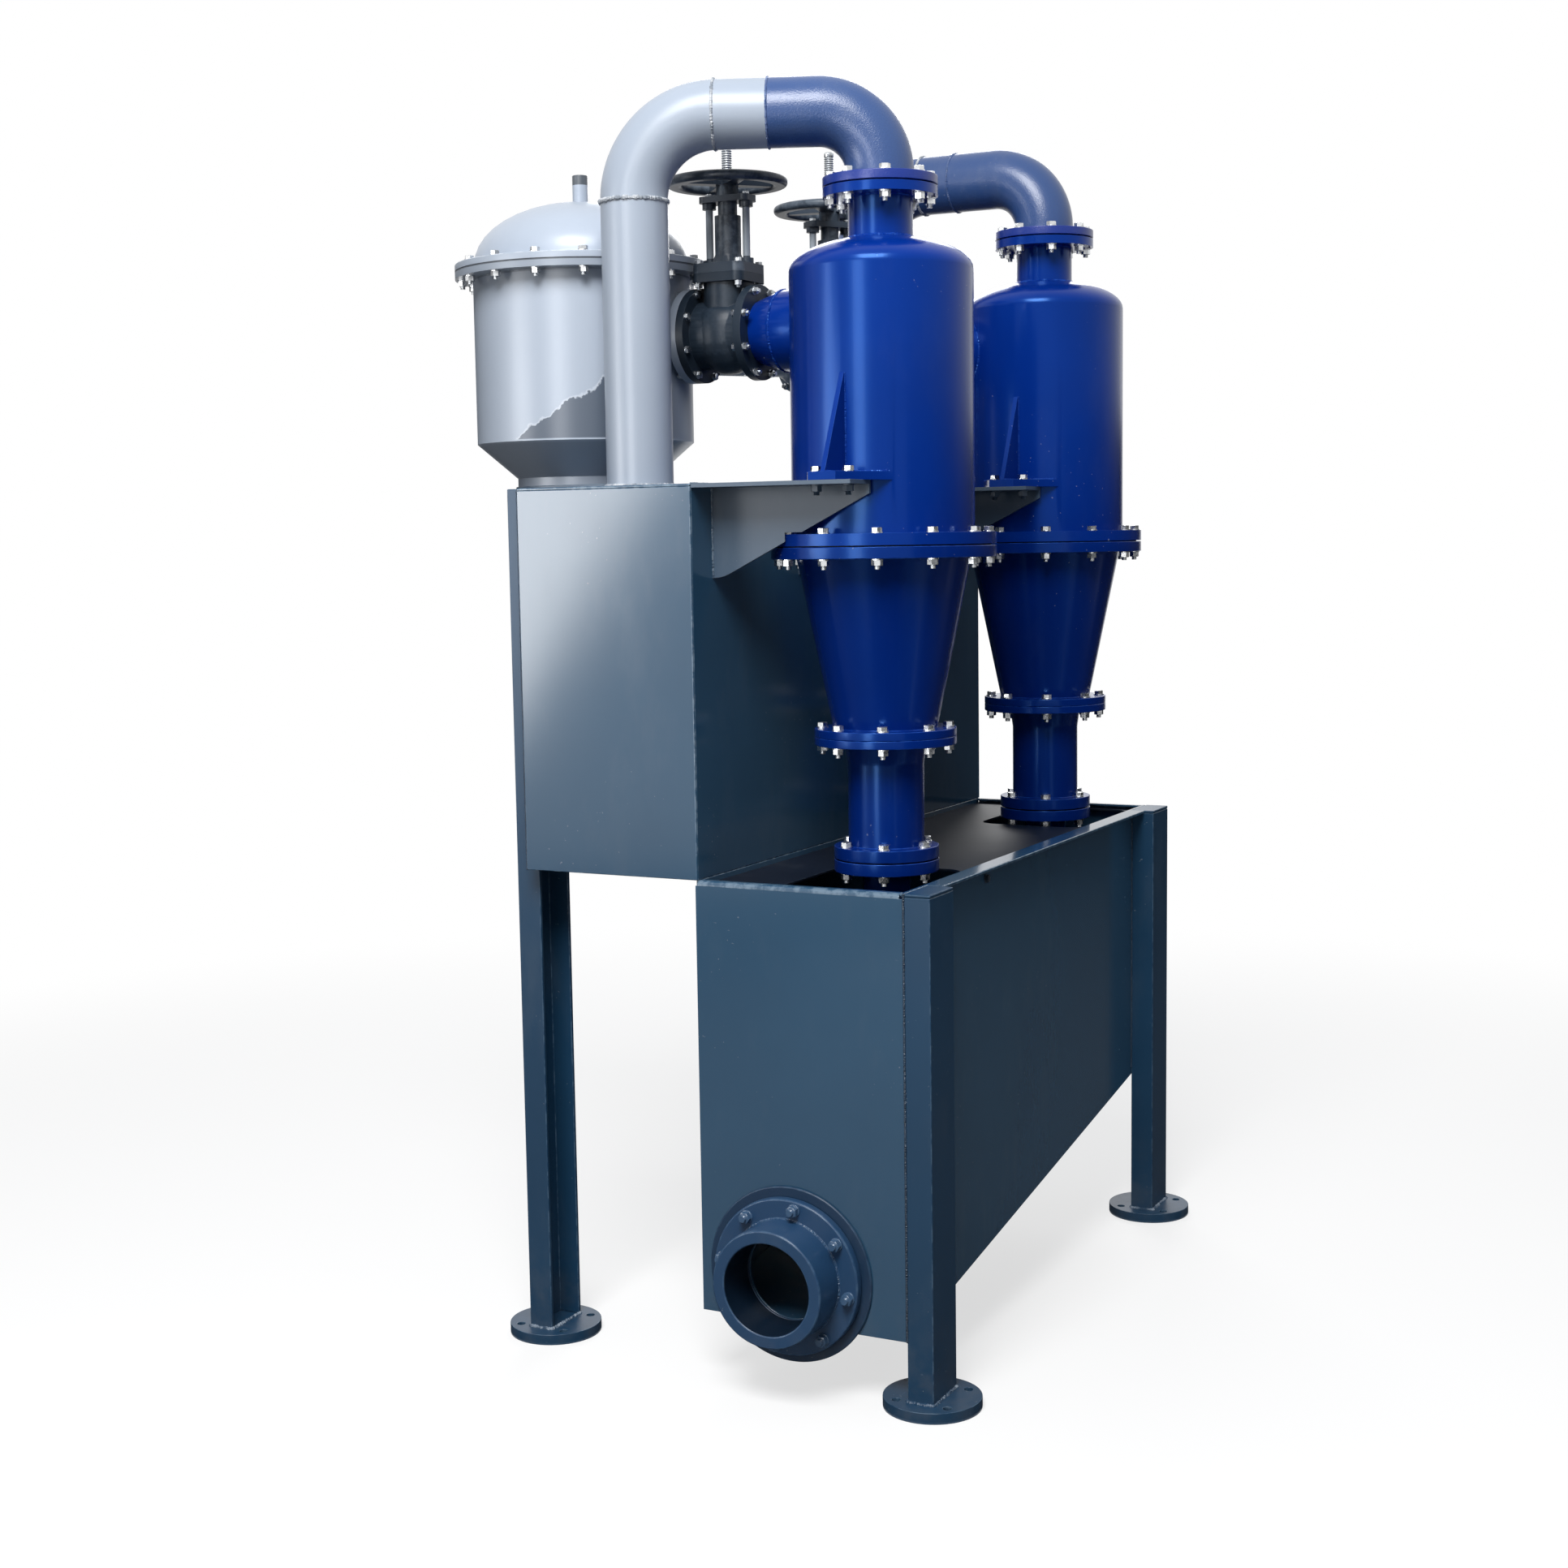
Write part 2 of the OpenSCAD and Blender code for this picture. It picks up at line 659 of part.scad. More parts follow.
module apex(c) {
  top = apex_joint_h - gasket_t / 2;
  bottom = top - apex_flange_t;
  bore = spigot_d / 2 - cyc_wall;
  tip = apex_d / 2 - 2 * cyc_wall;
  translate([c.x, c.y, 0]) rotate_extrude() polygon([[bore, top], [apex_flange_d / 2, top],
    [apex_flange_d / 2, bottom], [apex_d / 2, bottom], [apex_d / 2, bottom - apex_l], [tip, bottom - apex_l],
    [tip, bottom]]);
}

module front_cyclone_head() { color(royal_blue) plan() cyclone_head(cyc_front, 0, front_feed_off); }

module rear_cyclone_head() { color(royal_blue) plan() cyclone_head(cyc_rear, rear_feed_ang, 0); }

module front_cyclone_cone() { color(royal_blue) plan() cyclone_cone(cyc_front); }

module rear_cyclone_cone() { color(royal_blue) plan() cyclone_cone(cyc_rear); }

module front_spigot() { color(royal_blue) plan() spigot(cyc_front); }

module rear_spigot() { color(royal_blue) plan() spigot(cyc_rear); }

module front_apex() { color(royal_blue) plan() apex(cyc_front); }

module rear_apex() { color(royal_blue) plan() apex(cyc_rear); }

module gasket(d, bore, z) {
  translate([0, 0, z - gasket_t / 2]) tube(d / 2 - gasket_in, d / 2 - gasket_in - bore / 2, gasket_t);
}

module gaskets() {
  color(gasket_black) plan() for (c = [cyc_front, cyc_rear]) translate([c.x, c.y, 0]) {
    gasket(top_flange_d, neck_d - 2 * cyc_wall, top_joint_h);
    gasket(main_flange_d, cyl_d - 2 * cyc_wall, joint_h);
    gasket(apex_flange_d, spigot_d - 2 * cyc_wall, apex_joint_h);
  }
}

// Overflow pipes rise from the cyclones and turn down into the overflow tank

// Local frame with its origin at a cyclone axis and +X towards its riser
module goose(c, riser) { translate([c.x, c.y, 0]) rotate(atan2(riser.y - c.y, riser.x - c.x)) children(); }

module overflow_elbow(c, riser) {
  start = top_joint_h + gasket_t / 2;
  goose(c, riser) {
    translate([0, 0, start]) tube(top_flange_d / 2, top_flange_d / 2 - pipe_r + pipe_wall, top_flange_t);
    translate([0, 0, start]) tube(pipe_r, pipe_wall, goose_h - goose_r1 - start);
    translate([goose_r1, 0, goose_h - goose_r1]) bend(goose_r1, pipe_r, pipe_wall, 90);
    translate([goose_r1, 0, goose_h]) rotate([0, 90, 0]) tube(pipe_r, pipe_wall, goose_blue_l);
  }
}

module overflow_riser(c, riser) {
  run = norm(riser - c);
  blue_end = goose_r1 + goose_blue_l;
  goose(c, riser) {
    translate([blue_end, 0, goose_h]) rotate([0, 90, 0]) tube(pipe_r, pipe_wall, run - goose_r2 - blue_end);
    translate([run - goose_r2, 0, goose_h - goose_r2]) bend(goose_r2, pipe_r, pipe_wall, 0);
    translate([run, 0, roof_h]) tube(pipe_r, pipe_wall, goose_h - goose_r2 - roof_h);
  }
}

module front_overflow_elbow() { color(dusty_blue) plan() overflow_elbow(cyc_front, riser_front); }

module front_overflow_riser() { color(pipe_grey) plan() overflow_riser(cyc_front, riser_front); }

module rear_overflow_elbow() { color(dusty_blue) plan() overflow_elbow(cyc_rear, riser_rear); }

module rear_overflow_riser() { color(pipe_grey) plan() overflow_riser(cyc_rear, riser_rear); }

// Feed vessel

module vessel_shell() {
  flange_z = lid_joint_h - vessel_flange_t;
  inner = vessel_r - vessel_wall;
  color(pipe_grey) plan() translate([vessel_at.x, vessel_at.y, 0]) difference() {
    rotate_extrude() polygon([[0, base_z], [base_d / 2, base_z], [base_d / 2, base_z + base_h],
      [vessel_r, vessel_shoulder_h], [vessel_r, flange_z], [vessel_flange_d / 2, flange_z],
      [vessel_flange_d / 2, lid_joint_h], [inner, lid_joint_h], [inner, vessel_shoulder_h],
      [base_d / 2 - vessel_wall, base_z + base_h], [0, base_z + base_h]]);
    feed_ports() cylinder(r = feed_r - pipe_wall, h = vessel_r + vessel_flange_t);
  }
}

// Both feed lines, seen from the vessel axis
module feed_ports() {
  translate([0, 0, feed_h]) {
    translate([0, front_feed_off, 0]) rotate([0, 90, 0]) children();
    rotate(rear_feed_ang) rotate([0, 90, 0]) children();
  }
}

module vessel_lid() {
  dish_r = vessel_r - vessel_wall / 2;
  outside = concat(dish(dish_r, lid_dish_h, lid_z, stub_d / 2), [[stub_d / 2, lid_z + lid_dish_h + stub_h],
    [0, lid_z + lid_dish_h + stub_h]]);
  inside = dish(dish_r - vessel_wall, lid_dish_h - vessel_wall, lid_z, 0);
  color(pipe_grey) plan() translate([vessel_at.x, vessel_at.y, 0]) rotate_extrude() polygon(concat(
    [[dish_r - vessel_wall, lid_joint_h], [vessel_flange_d / 2, lid_joint_h], [vessel_flange_d / 2, lid_z]],
    outside, reverse(inside)));
}

// A shelf laps the tank roof and reaches out on two gussets under the vessel
module vessel_shelf() {
  color(tank_blue) plan() {
    translate([vessel_at.x, vessel_at.y, roof_h]) {
      cylinder(r = shelf_r, h = shelf_t);
      translate([0, -shelf_r, 0]) cube([vessel_x - upper_left_x + shelf_lap, 2 * shelf_r, shelf_t]);
    }
    for (side = [-1, 1]) cross_plate(vessel_y + side * shelf_r / 2 - arm_t / 2, arm_t,
      [[-upper_left_x, roof_h + shelf_t / 2], [-upper_left_x, roof_h - shelf_gusset_h],
      [-upper_left_x - arm_t, roof_h - shelf_gusset_h], [-vessel_x - shelf_r * 3 / 4, roof_h - arm_tip_h],
      [-vessel_x - shelf_r * 3 / 4, roof_h + shelf_t / 2]]);
  }
}

// Feed lines from the vessel through a valve to each cyclone

// Frame of a feed line: +Z runs along the flow from the vessel axis
module feed_line(ang, off) {
  translate([vessel_at.x, vessel_at.y, feed_h]) rotate(ang) translate([0, off, 0]) rotate([0, 90, 0]) children();
}

// Distance along a feed line from the vessel axis to a cyclone axis
function along(c, ang) = (c.x - vessel_at.x) * cos(ang) + (c.y - vessel_at.y) * sin(ang);

module branch(ang, off, valve_at) {
  finish = valve_at - valve_l / 2;
  difference() {
    feed_line(ang, off) difference() {
      union() {
        cylinder(r = feed_r, h = finish);
        translate([0, 0, finish - valve_flange_t]) cylinder(d = valve_flange_d, h = valve_flange_t);
        translate([0, 0, finish - valve_flange_t - hub_l]) cylinder(r1 = feed_r, d2 = hub_d, h = hub_l);
      }
      translate([0, 0, -1]) cylinder(r = feed_r - pipe_wall, h = finish + 2);
    }
    translate([vessel_at.x, vessel_at.y, 0]) cylinder(r = vessel_r, h = lid_z);
  }
}

module inlet(c, ang, off, valve_at) {
  start = valve_at + valve_l / 2;
  finish = along(c, ang);
  difference() {
    feed_line(ang, off) translate([0, 0, start]) difference() {
      union() {
        cylinder(r1 = feed_r, r2 = inlet_r, h = inlet_taper_l);
        translate([0, 0, inlet_taper_l]) cylinder(r = inlet_r, h = finish - start - inlet_taper_l);
      }
      cylinder(r1 = feed_r - pipe_wall, r2 = inlet_r - pipe_wall, h = inlet_taper_l);
      translate([0, 0, inlet_taper_l]) cylinder(r = inlet_r - pipe_wall, h = finish - start);
      translate([0, 0, -1]) cylinder(r = feed_r - pipe_wall, h = 2);
    }
    translate([c.x, c.y, 0]) cylinder(r = cyl_r, h = goose_h);
  }
}

module front_branch() { color(pipe_grey) plan() branch(0, front_feed_off, front_valve_at); }

module rear_branch() { color(pipe_grey) plan() branch(rear_feed_ang, 0, rear_valve_at); }

module front_inlet() { color(royal_blue) plan() inlet(cyc_front, 0, front_feed_off, front_valve_at); }

module rear_inlet() { color(royal_blue) plan() inlet(cyc_rear, rear_feed_ang, 0, rear_valve_at); }

// Gate valves with a rising stem

// Frame of a valve: the origin on the feed line, +X along the flow, +Z up
module valve(ang, off, at) {
  translate([vessel_at.x, vessel_at.y, feed_h]) rotate(ang) translate([at, off, 0]) children();
}

module front_valve() { plan() valve(0, front_feed_off, front_valve_at) children(); }

module rear_valve() { plan() valve(rear_feed_ang, 0, rear_valve_at) children(); }

stem_bore_r = stem_r + stem_gap;
stem_low = crosshead_h - crosshead_t - stem_travel / 2;

// The gate casing is a round belly that narrows to the neck under the square bonnet flange
module valve_body() {
  barrel_l = valve_l - 2 * valve_flange_t;
  belly_r = belly_d / 2;
  neck_r = valve_neck_d / 2;
  lower = [for (i = [0 : 6]) [belly_r * sin(15 * i), -belly_drop * cos(15 * i)]];
  upper = [for (i = [1 : 6]) [neck_r + (belly_r - neck_r) * cos(15 * i), (bonnet_joint_h - bonnet_t) * sin(15 * i) / 2]];
  difference() {
    union() {
      for (x = [-valve_l / 2, valve_l / 2 - valve_flange_t]) translate([x, 0, 0]) rotate([0, 90, 0])
        cylinder(d = valve_flange_d, h = valve_flange_t);
      translate([-barrel_l / 2 - 1, 0, 0]) rotate([0, 90, 0]) cylinder(d = barrel_d, h = barrel_l + 2);
      intersection() {
        rotate_extrude() polygon(concat(lower, upper, [[neck_r, bonnet_joint_h - bonnet_t], [0, bonnet_joint_h - bonnet_t]]));
        translate([-barrel_l / 2 - 1, -belly_d, -belly_d]) cube([barrel_l + 2, 2 * belly_d, 3 * belly_d]);
      }
      translate([0, 0, bonnet_joint_h - bonnet_t]) linear_extrude(bonnet_t) round_rect(bonnet_w, bonnet_w, bonnet_t);
    }
    translate([0, 0, stem_low - stem_travel - stem_d]) cylinder(r = stem_bore_r, h = crosshead_h);
  }
}

// The open yoke: a column and two pillar rods carry the crosshead
module valve_yoke() {
  base = bonnet_joint_h + bonnet_t;
  under = crosshead_h - crosshead_t;
  step = under - column_top_h;
  pillars = [-pillar_span / 2, pillar_span / 2];
  difference() {
    union() {
      translate([0, 0, bonnet_joint_h]) linear_extrude(bonnet_t) round_rect(bonnet_w, bonnet_w, bonnet_t);
      rotate_extrude() polygon([[0, base - 1], [column_foot_d / 2, base - 1], [column_foot_d / 2, base],
        [column_d / 2, base + column_foot_h], [column_d / 2, step], [column_top_d / 2, step],
        [column_top_d / 2, under + 1], [0, under + 1]]);
      for (x = pillars) translate([x, 0, base - 1]) {
        cylinder(d = pillar_d, h = under - base + 2);
        cylinder(d = boss_d, h = boss_h + 1);
      }
      for (x = pillars) translate([x, 0, under - boss_h]) cylinder(d = boss_d, h = boss_h + 1);
      translate([0, 0, under]) linear_extrude(crosshead_t)
        round_rect(pillar_span + boss_d, column_d, boss_d / 2 - 1);
    }
    translate([0, 0, bonnet_joint_h - 1]) cylinder(r = stem_bore_r, h = crosshead_h);
  }
}

// The handwheel nut turns on the crosshead, and four tapered spokes carry the rounded rim
module valve_wheel() {
  hub_z = crosshead_h + stem_gap;
  rim_r = (wheel_d - wheel_rim_w) / 2;
  rim_z = hub_z + wheel_hub_h - wheel_rim_h / 2;
  spoke_in = wheel_hub_d / 4;
  difference() {
    union() {
      translate([0, 0, hub_z]) cylinder(d = wheel_hub_d, h = wheel_hub_h);
      translate([0, 0, rim_z]) rotate_extrude() translate([rim_r, 0])
        round_rect(wheel_rim_w, wheel_rim_h, wheel_rim_h / 2 - 1);
      for (a = [45 : 90 : 315]) rotate(a) translate([0, 0, rim_z - spoke_t / 2]) linear_extrude(spoke_t)
        polygon([[spoke_in, -spoke_w / 2], [rim_r, -spoke_tip_w / 2], [rim_r, spoke_tip_w / 2], [spoke_in, spoke_w / 2]]);
    }
    translate([0, 0, hub_z - 1]) cylinder(r = stem_bore_r, h = wheel_hub_h + 2);
  }
}

module valve_stem() { translate([0, 0, stem_low]) cylinder(r = stem_r, h = stem_top_h - stem_low); }

module front_valve_body() { color(valve_grey) front_valve() valve_body(); }

module front_valve_yoke() { color(valve_grey) front_valve() valve_yoke(); }

module front_valve_wheel() { color(valve_grey) front_valve() valve_wheel(); }

module front_valve_stem() { color(steel) front_valve() valve_stem(); }

module rear_valve_body() { color(valve_grey) rear_valve() valve_body(); }

module rear_valve_yoke() { color(valve_grey) rear_valve() valve_yoke(); }

module rear_valve_wheel() { color(valve_grey) rear_valve() valve_wheel(); }

module rear_valve_stem() { color(steel) rear_valve() valve_stem(); }

front_right_leg();
rear_right_leg();
front_left_leg();
rear_left_leg();
foot_plates();
leg_caps();
lower_front_wall();
lower_rear_wall();
lower_left_wall();
lower_right_wall();
lower_floor();
lower_deck();
rim_bar();
outlet_pad();
outlet_spout();
upper_front_wall();
upper_rear_wall();
upper_left_wall();
upper_right_wall();
upper_roof();
upper_floor();
bracket_arms();
front_cyclone_head();
front_cyclone_cone();
front_spigot();
front_apex();
rear_cyclone_head();
rear_cyclone_cone();
rear_spigot();
rear_apex();
gaskets();
front_overflow_elbow();
front_overflow_riser();
rear_overflow_elbow();
rear_overflow_riser();
vessel_shell();
vessel_lid();
vessel_shelf();
front_branch();
rear_branch();
front_inlet();
rear_inlet();
front_valve_body();
front_valve_yoke();
front_valve_wheel();
front_valve_stem();
rear_valve_body();
rear_valve_yoke();
rear_valve_wheel();
rear_valve_stem();
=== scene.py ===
# %% [markdown]
# # A twin hydrocyclone unit
# Two blue cyclones hang beside a slate tank. A grey vessel on the tank roof feeds them through two hand-turned gate
# valves, and a gooseneck pipe leads from each cyclone top back into the tank.
# The solids come from the CAD frame, so every place in this file is measured on the frame, in metres.

# %% Load the frame
import json
import math
import random

import bmesh
import bpy
import numpy as np
from mathutils import Matrix, Vector


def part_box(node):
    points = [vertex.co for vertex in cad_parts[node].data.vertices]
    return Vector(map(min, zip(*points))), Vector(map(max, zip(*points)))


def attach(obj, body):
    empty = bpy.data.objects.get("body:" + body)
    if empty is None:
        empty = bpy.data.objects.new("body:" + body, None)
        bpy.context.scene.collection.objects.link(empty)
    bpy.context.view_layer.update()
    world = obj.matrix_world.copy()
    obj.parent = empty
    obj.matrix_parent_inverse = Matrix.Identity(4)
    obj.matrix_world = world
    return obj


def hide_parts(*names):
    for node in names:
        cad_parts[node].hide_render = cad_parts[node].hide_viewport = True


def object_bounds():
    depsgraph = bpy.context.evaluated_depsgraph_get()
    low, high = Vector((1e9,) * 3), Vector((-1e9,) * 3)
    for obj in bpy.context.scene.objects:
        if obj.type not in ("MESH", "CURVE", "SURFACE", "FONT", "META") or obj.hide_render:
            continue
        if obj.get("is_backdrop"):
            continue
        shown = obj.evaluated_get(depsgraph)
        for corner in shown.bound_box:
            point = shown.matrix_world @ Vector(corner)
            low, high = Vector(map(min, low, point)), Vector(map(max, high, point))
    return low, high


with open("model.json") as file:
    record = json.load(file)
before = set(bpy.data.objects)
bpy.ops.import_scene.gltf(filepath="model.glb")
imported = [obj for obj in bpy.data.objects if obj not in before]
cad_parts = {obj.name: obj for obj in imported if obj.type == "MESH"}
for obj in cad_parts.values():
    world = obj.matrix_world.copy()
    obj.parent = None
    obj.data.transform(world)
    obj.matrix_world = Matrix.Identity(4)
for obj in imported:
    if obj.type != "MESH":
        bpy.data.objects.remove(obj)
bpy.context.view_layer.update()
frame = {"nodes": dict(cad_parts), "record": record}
MM = 0.001

# %% [markdown]
# ## The camera
# The picture was taken from the right-hand front corner, a little above the middle of the tank, on a normal lens.
# A camera could be aimed by eye, but its place and turn were worked out from the tank edges, so they are written as
# one place and three angles: a turn about the upright, a tilt down and a slight roll.

# %% Put the tools down and stand the camera
CAMERA_PLACE = (2.7357, -5.5819, 2.1067)
CAMERA_TURN = 27.10
CAMERA_TILT = 6.33
CAMERA_ROLL = -0.87
CAMERA_LENS = 50.61


def put_down():
    """Leaves edit mode and deselects everything, so that the next operator acts on its own piece alone."""
    if bpy.context.object and bpy.context.object.mode != "OBJECT":
        bpy.ops.object.mode_set(mode="OBJECT")
    bpy.ops.object.select_all(action="DESELECT")


put_down()
turned = Matrix.Rotation(math.radians(CAMERA_TURN), 3, "Z") @ Matrix.Rotation(math.radians(90 - CAMERA_TILT), 3, "X")
turned = turned @ Matrix.Rotation(math.radians(CAMERA_ROLL), 3, "Z")
bpy.ops.object.camera_add(location=CAMERA_PLACE, rotation=turned.to_euler())
camera = bpy.context.object
camera.data.lens = CAMERA_LENS
camera.data.sensor_width = 36
bpy.context.scene.camera = camera
bpy.context.scene.view_settings.view_transform = "Standard"
print("camera at", CAMERA_PLACE)

# %% [markdown]
# ## Shader maths
# Paint on a real machine is never one flat colour: it has a cloudy tone, dust, scuffs and a faint orange peel. Each of
# those is a small sum of noises. Wiring Math nodes one by one hides the sum, so a socket is wrapped in a class whose
# plus, minus and times each add the node, and a finish is then written as one line of arithmetic.

# %% A socket that can be added and multiplied
class Tone:
    """A socket's value in a finish. Arithmetic on it adds Math nodes."""

    def __init__(self, finish, socket):
        self.finish = finish
        self.socket = socket

    def sum(self, operation, first, second):
        return self.finish.node("ShaderNodeMath", {"operation": operation}, {0: first, 1: second})

    def __add__(self, other):
        return self.sum("ADD", self, other)

    def __radd__(self, other):
        return self.sum("ADD", other, self)

    def __sub__(self, other):
        return self.sum("SUBTRACT", self, other)

    def __rsub__(self, other):
        return self.sum("SUBTRACT", other, self)

    def __mul__(self, other):
        return self.sum("MULTIPLY", self, other)

    def __rmul__(self, other):
        return self.sum("MULTIPLY", other, self)


print("sockets can be added, subtracted and multiplied")

# %% A finish, which is one material with its nodes
def colour(red, green, blue):
    """A colour as it is read off a screen, 0 to 255, turned into the shader's own linear scale."""
    parts = [c / 255 for c in (red, green, blue)]
    return [c / 12.92 if c <= 0.04045 else ((c + 0.055) / 1.055) ** 2.4 for c in parts] + [1.0]


class Finish:
    """One material. Values that are the same all over are set on its shader, and the rest is wired by feed()."""

    def __init__(self, name, **even):
        self.material = bpy.data.materials.new(name)
        self.material.use_nodes = True
        self.tree = self.material.node_tree
        self.shader = self.tree.nodes["Principled BSDF"]
        for socket, value in even.items():
            self.shader.inputs[socket.replace("_", " ")].default_value = value
        self.place = self.node("ShaderNodeTexCoord", out="Object")

    def node(self, kind, settings=None, sockets=None, out=0):
        """Adds any node: first its settings, then the values or links of its sockets."""
        made = self.tree.nodes.new(kind)
        for name, value in (settings or {}).items():
            setattr(made, name, value)
        for name, value in (sockets or {}).items():
            if isinstance(value, Tone):
                self.tree.links.new(value.socket, made.inputs[name])
            else:
                made.inputs[name].default_value = value
        return Tone(self, made.outputs[out])

    def noise(self, scale, detail=2.0, rough=0.5, stretch=None):
        """A noise of so many grains to the metre, between 0 and 1."""
        place = self.place
        if stretch:
            place = self.node("ShaderNodeMapping", {}, {"Vector": self.place, "Scale": stretch})
        return self.node("ShaderNodeTexNoise", {},
            {"Vector": place, "Scale": scale, "Detail": detail, "Roughness": rough})

    def step(self, value, low, high):
        """0 below low, 1 above high and a soft slope between them."""
        return self.node("ShaderNodeMapRange", {"interpolation_type": "SMOOTHSTEP"},
            {"Value": value, "From Min": low, "From Max": high})

    def mix(self, share, first, second):
        """A share of the second colour over the first."""
        return self.node("ShaderNodeMix", {"data_type": "RGBA"}, {"Factor": share, 6: first, 7: second}, out=2)

    def split(self):
        """The three parts of the place on the piece, in metres."""
        apart = self.tree.nodes.new("ShaderNodeSeparateXYZ")
        self.tree.links.new(self.place.socket, apart.inputs[0])
        return [Tone(self, socket) for socket in apart.outputs]

    def feed(self, socket, tone):
        self.tree.links.new(tone.socket, self.shader.inputs[socket])

    def fed(self, socket):
        """What feeds a socket of the shader now, to build on."""
        return Tone(self, self.shader.inputs[socket].links[0].from_socket)

    def rough_up(self, height, strength, depth):
        """A bump from a height between 0 and 1, so deep in metres."""
        bump = self.node("ShaderNodeBump", {}, {"Height": height, "Strength": strength, "Distance": depth})
        self.feed("Normal", bump)


print("finish tools ready")

# %% [markdown]
# ## The stage
# The picture has a plain white ground. A white floor under strong lamps would bleach the paint, so the floor is pale
# and takes its shadow from the lamps, and what the camera and the gloss see is lifted to white with the Light Path
# node. Away from the machine the floor fades into the white of the world.

# %% Which rays see the stage
def seen_directly(finish):
    """1 for rays from the camera, from gloss and through glass, and 0 for the light that falls on things."""
    path = finish.tree.nodes.new("ShaderNodeLightPath")
    seen = [Tone(finish, path.outputs[name]) for name in ("Is Camera Ray", "Is Glossy Ray", "Is Transmission Ray")]
    return finish.node("ShaderNodeMath", {"operation": "ADD", "use_clamp": True}, {0: seen[0] + seen[1], 1: seen[2]})


print("camera, gloss and glass see the stage lifted to white")

# %% Lay the floor
FLOOR_HALF = 30.0
FLOOR_LIFT = 0.66
FLOOR_BOUNCE = 0.36
FADE_START = 2.0
FADE_END = 6.0
put_down()
bpy.ops.mesh.primitive_grid_add(x_subdivisions=4, y_subdivisions=4, size=2 * FLOOR_HALF, location=(0, 0, 0))
floor = bpy.context.object
floor.name = "studio_floor"
ground = Finish("studio_ground")
east, north, _ = ground.split()
far = ground.step(east * east + north * north, FADE_START ** 2, FADE_END ** 2)
pale = ground.node("ShaderNodeBsdfDiffuse", {}, {"Color": (FLOOR_BOUNCE,) * 3 + (1,)})
dim = ground.node("ShaderNodeBsdfDiffuse", {}, {"Color": (1 - FLOOR_LIFT,) * 3 + (1,)})
lift = ground.node("ShaderNodeEmission", {}, {"Color": (1, 1, 1, 1), "Strength": FLOOR_LIFT})
white = ground.node("ShaderNodeEmission", {}, {"Color": (1, 1, 1, 1), "Strength": 1.0})
near_look = ground.node("ShaderNodeAddShader", {}, {0: dim, 1: lift})
look = ground.node("ShaderNodeMixShader", {}, {0: far, 1: near_look, 2: white})
shown = ground.node("ShaderNodeMixShader", {}, {0: seen_directly(ground), 1: pale, 2: look})
ground.tree.links.new(shown.socket, ground.tree.nodes["Material Output"].inputs["Surface"])
floor.data.materials.append(ground.material)
floor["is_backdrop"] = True
print("floor laid,", 2 * FLOOR_HALF, "m wide")

# %% [markdown]
# ## The world
# Daylight comes from all round, a little bluer than the lamps. A sky texture could give it, but its sun and horizon
# would show in the gloss, so the world is one weak even light. To the camera and the gloss it shows plain white, as the
# floor does.

# %% Light the world
SKY_STRENGTH = 0.30
SKY_BLUE = (0.93, 0.96, 1.0, 1)


class WorldFinish(Finish):
    """The same node tools on the world's own tree."""

    def __init__(self, world):
        world.use_nodes = True
        self.tree = world.node_tree


world = bpy.data.worlds.new("studio_world")
bpy.context.scene.world = world
sky = WorldFinish(world)
ambient = sky.node("ShaderNodeBackground", {}, {"Color": SKY_BLUE, "Strength": SKY_STRENGTH})
backdrop = sky.node("ShaderNodeBackground", {}, {"Color": (1, 1, 1, 1), "Strength": 1.0})
around_us = sky.node("ShaderNodeMixShader", {}, {0: seen_directly(sky), 1: ambient, 2: backdrop})
sky.tree.links.new(around_us.socket, sky.tree.nodes["World Output"].inputs["Surface"])
print("sky strength", SKY_STRENGTH)

# %% [markdown]
# ## The lamps
# The machine stands in soft daylight that comes from in front and above, so its right-hand sides are dark. A sun lamp
# would draw hard shadows, so one big soft box does that, with a weaker one behind. Two more only show in gloss: one low
# on the left, where the front plates mirror it, puts a slanting sheen on the top of the tank, and a tall strip in front
# draws the upright streak on the round shells.

# %% A soft box
AIM = Vector((0, 0, 1.6))


def soft_box(name, place, width, height, power, roll=0.0, gloss_only=False):
    """An area lamp that looks at the middle of the machine, rolled about its own axis."""
    put_down()
    look_back = (AIM - Vector(place)).to_track_quat("-Z", "Y").to_matrix() @ Matrix.Rotation(math.radians(roll), 3, "Z")
    bpy.ops.object.light_add(type="AREA", location=place, rotation=look_back.to_euler())
    lamp = bpy.context.object
    lamp.name = name
    lamp.data.shape = "RECTANGLE"
    lamp.data.size = width
    lamp.data.size_y = height
    lamp.data.energy = power
    lamp.visible_diffuse = not gloss_only
    return lamp


soft_box("front_box", (1.3, -4.8, 6.6), 3.0, 3.0, 560)
soft_box("rear_box", (-2.5, 6.0, 5.0), 3.0, 3.0, 160)
soft_box("sheen_box", (-4.64, -6.0, 2.45), 2.4, 2.4, 150, 58, gloss_only=True)
soft_box("streak_box", (0.1, -6.5, 2.4), 1.4, 3.6, 130, gloss_only=True)

# %% [markdown]
# ## Grey cards
# Glossy paint mirrors what is round it, and a white ground on all sides would wash its colour out. A darker paint would
# be wrong under other light, so grey cards stand and lie round the machine, as in a photo studio. The camera doesn't
# see them.

# %% Stand and lay the cards
DIM_GREY = colour(46, 50, 56)
MID_GREY = colour(118, 120, 122)
CARD_LIFT = 5 * MM


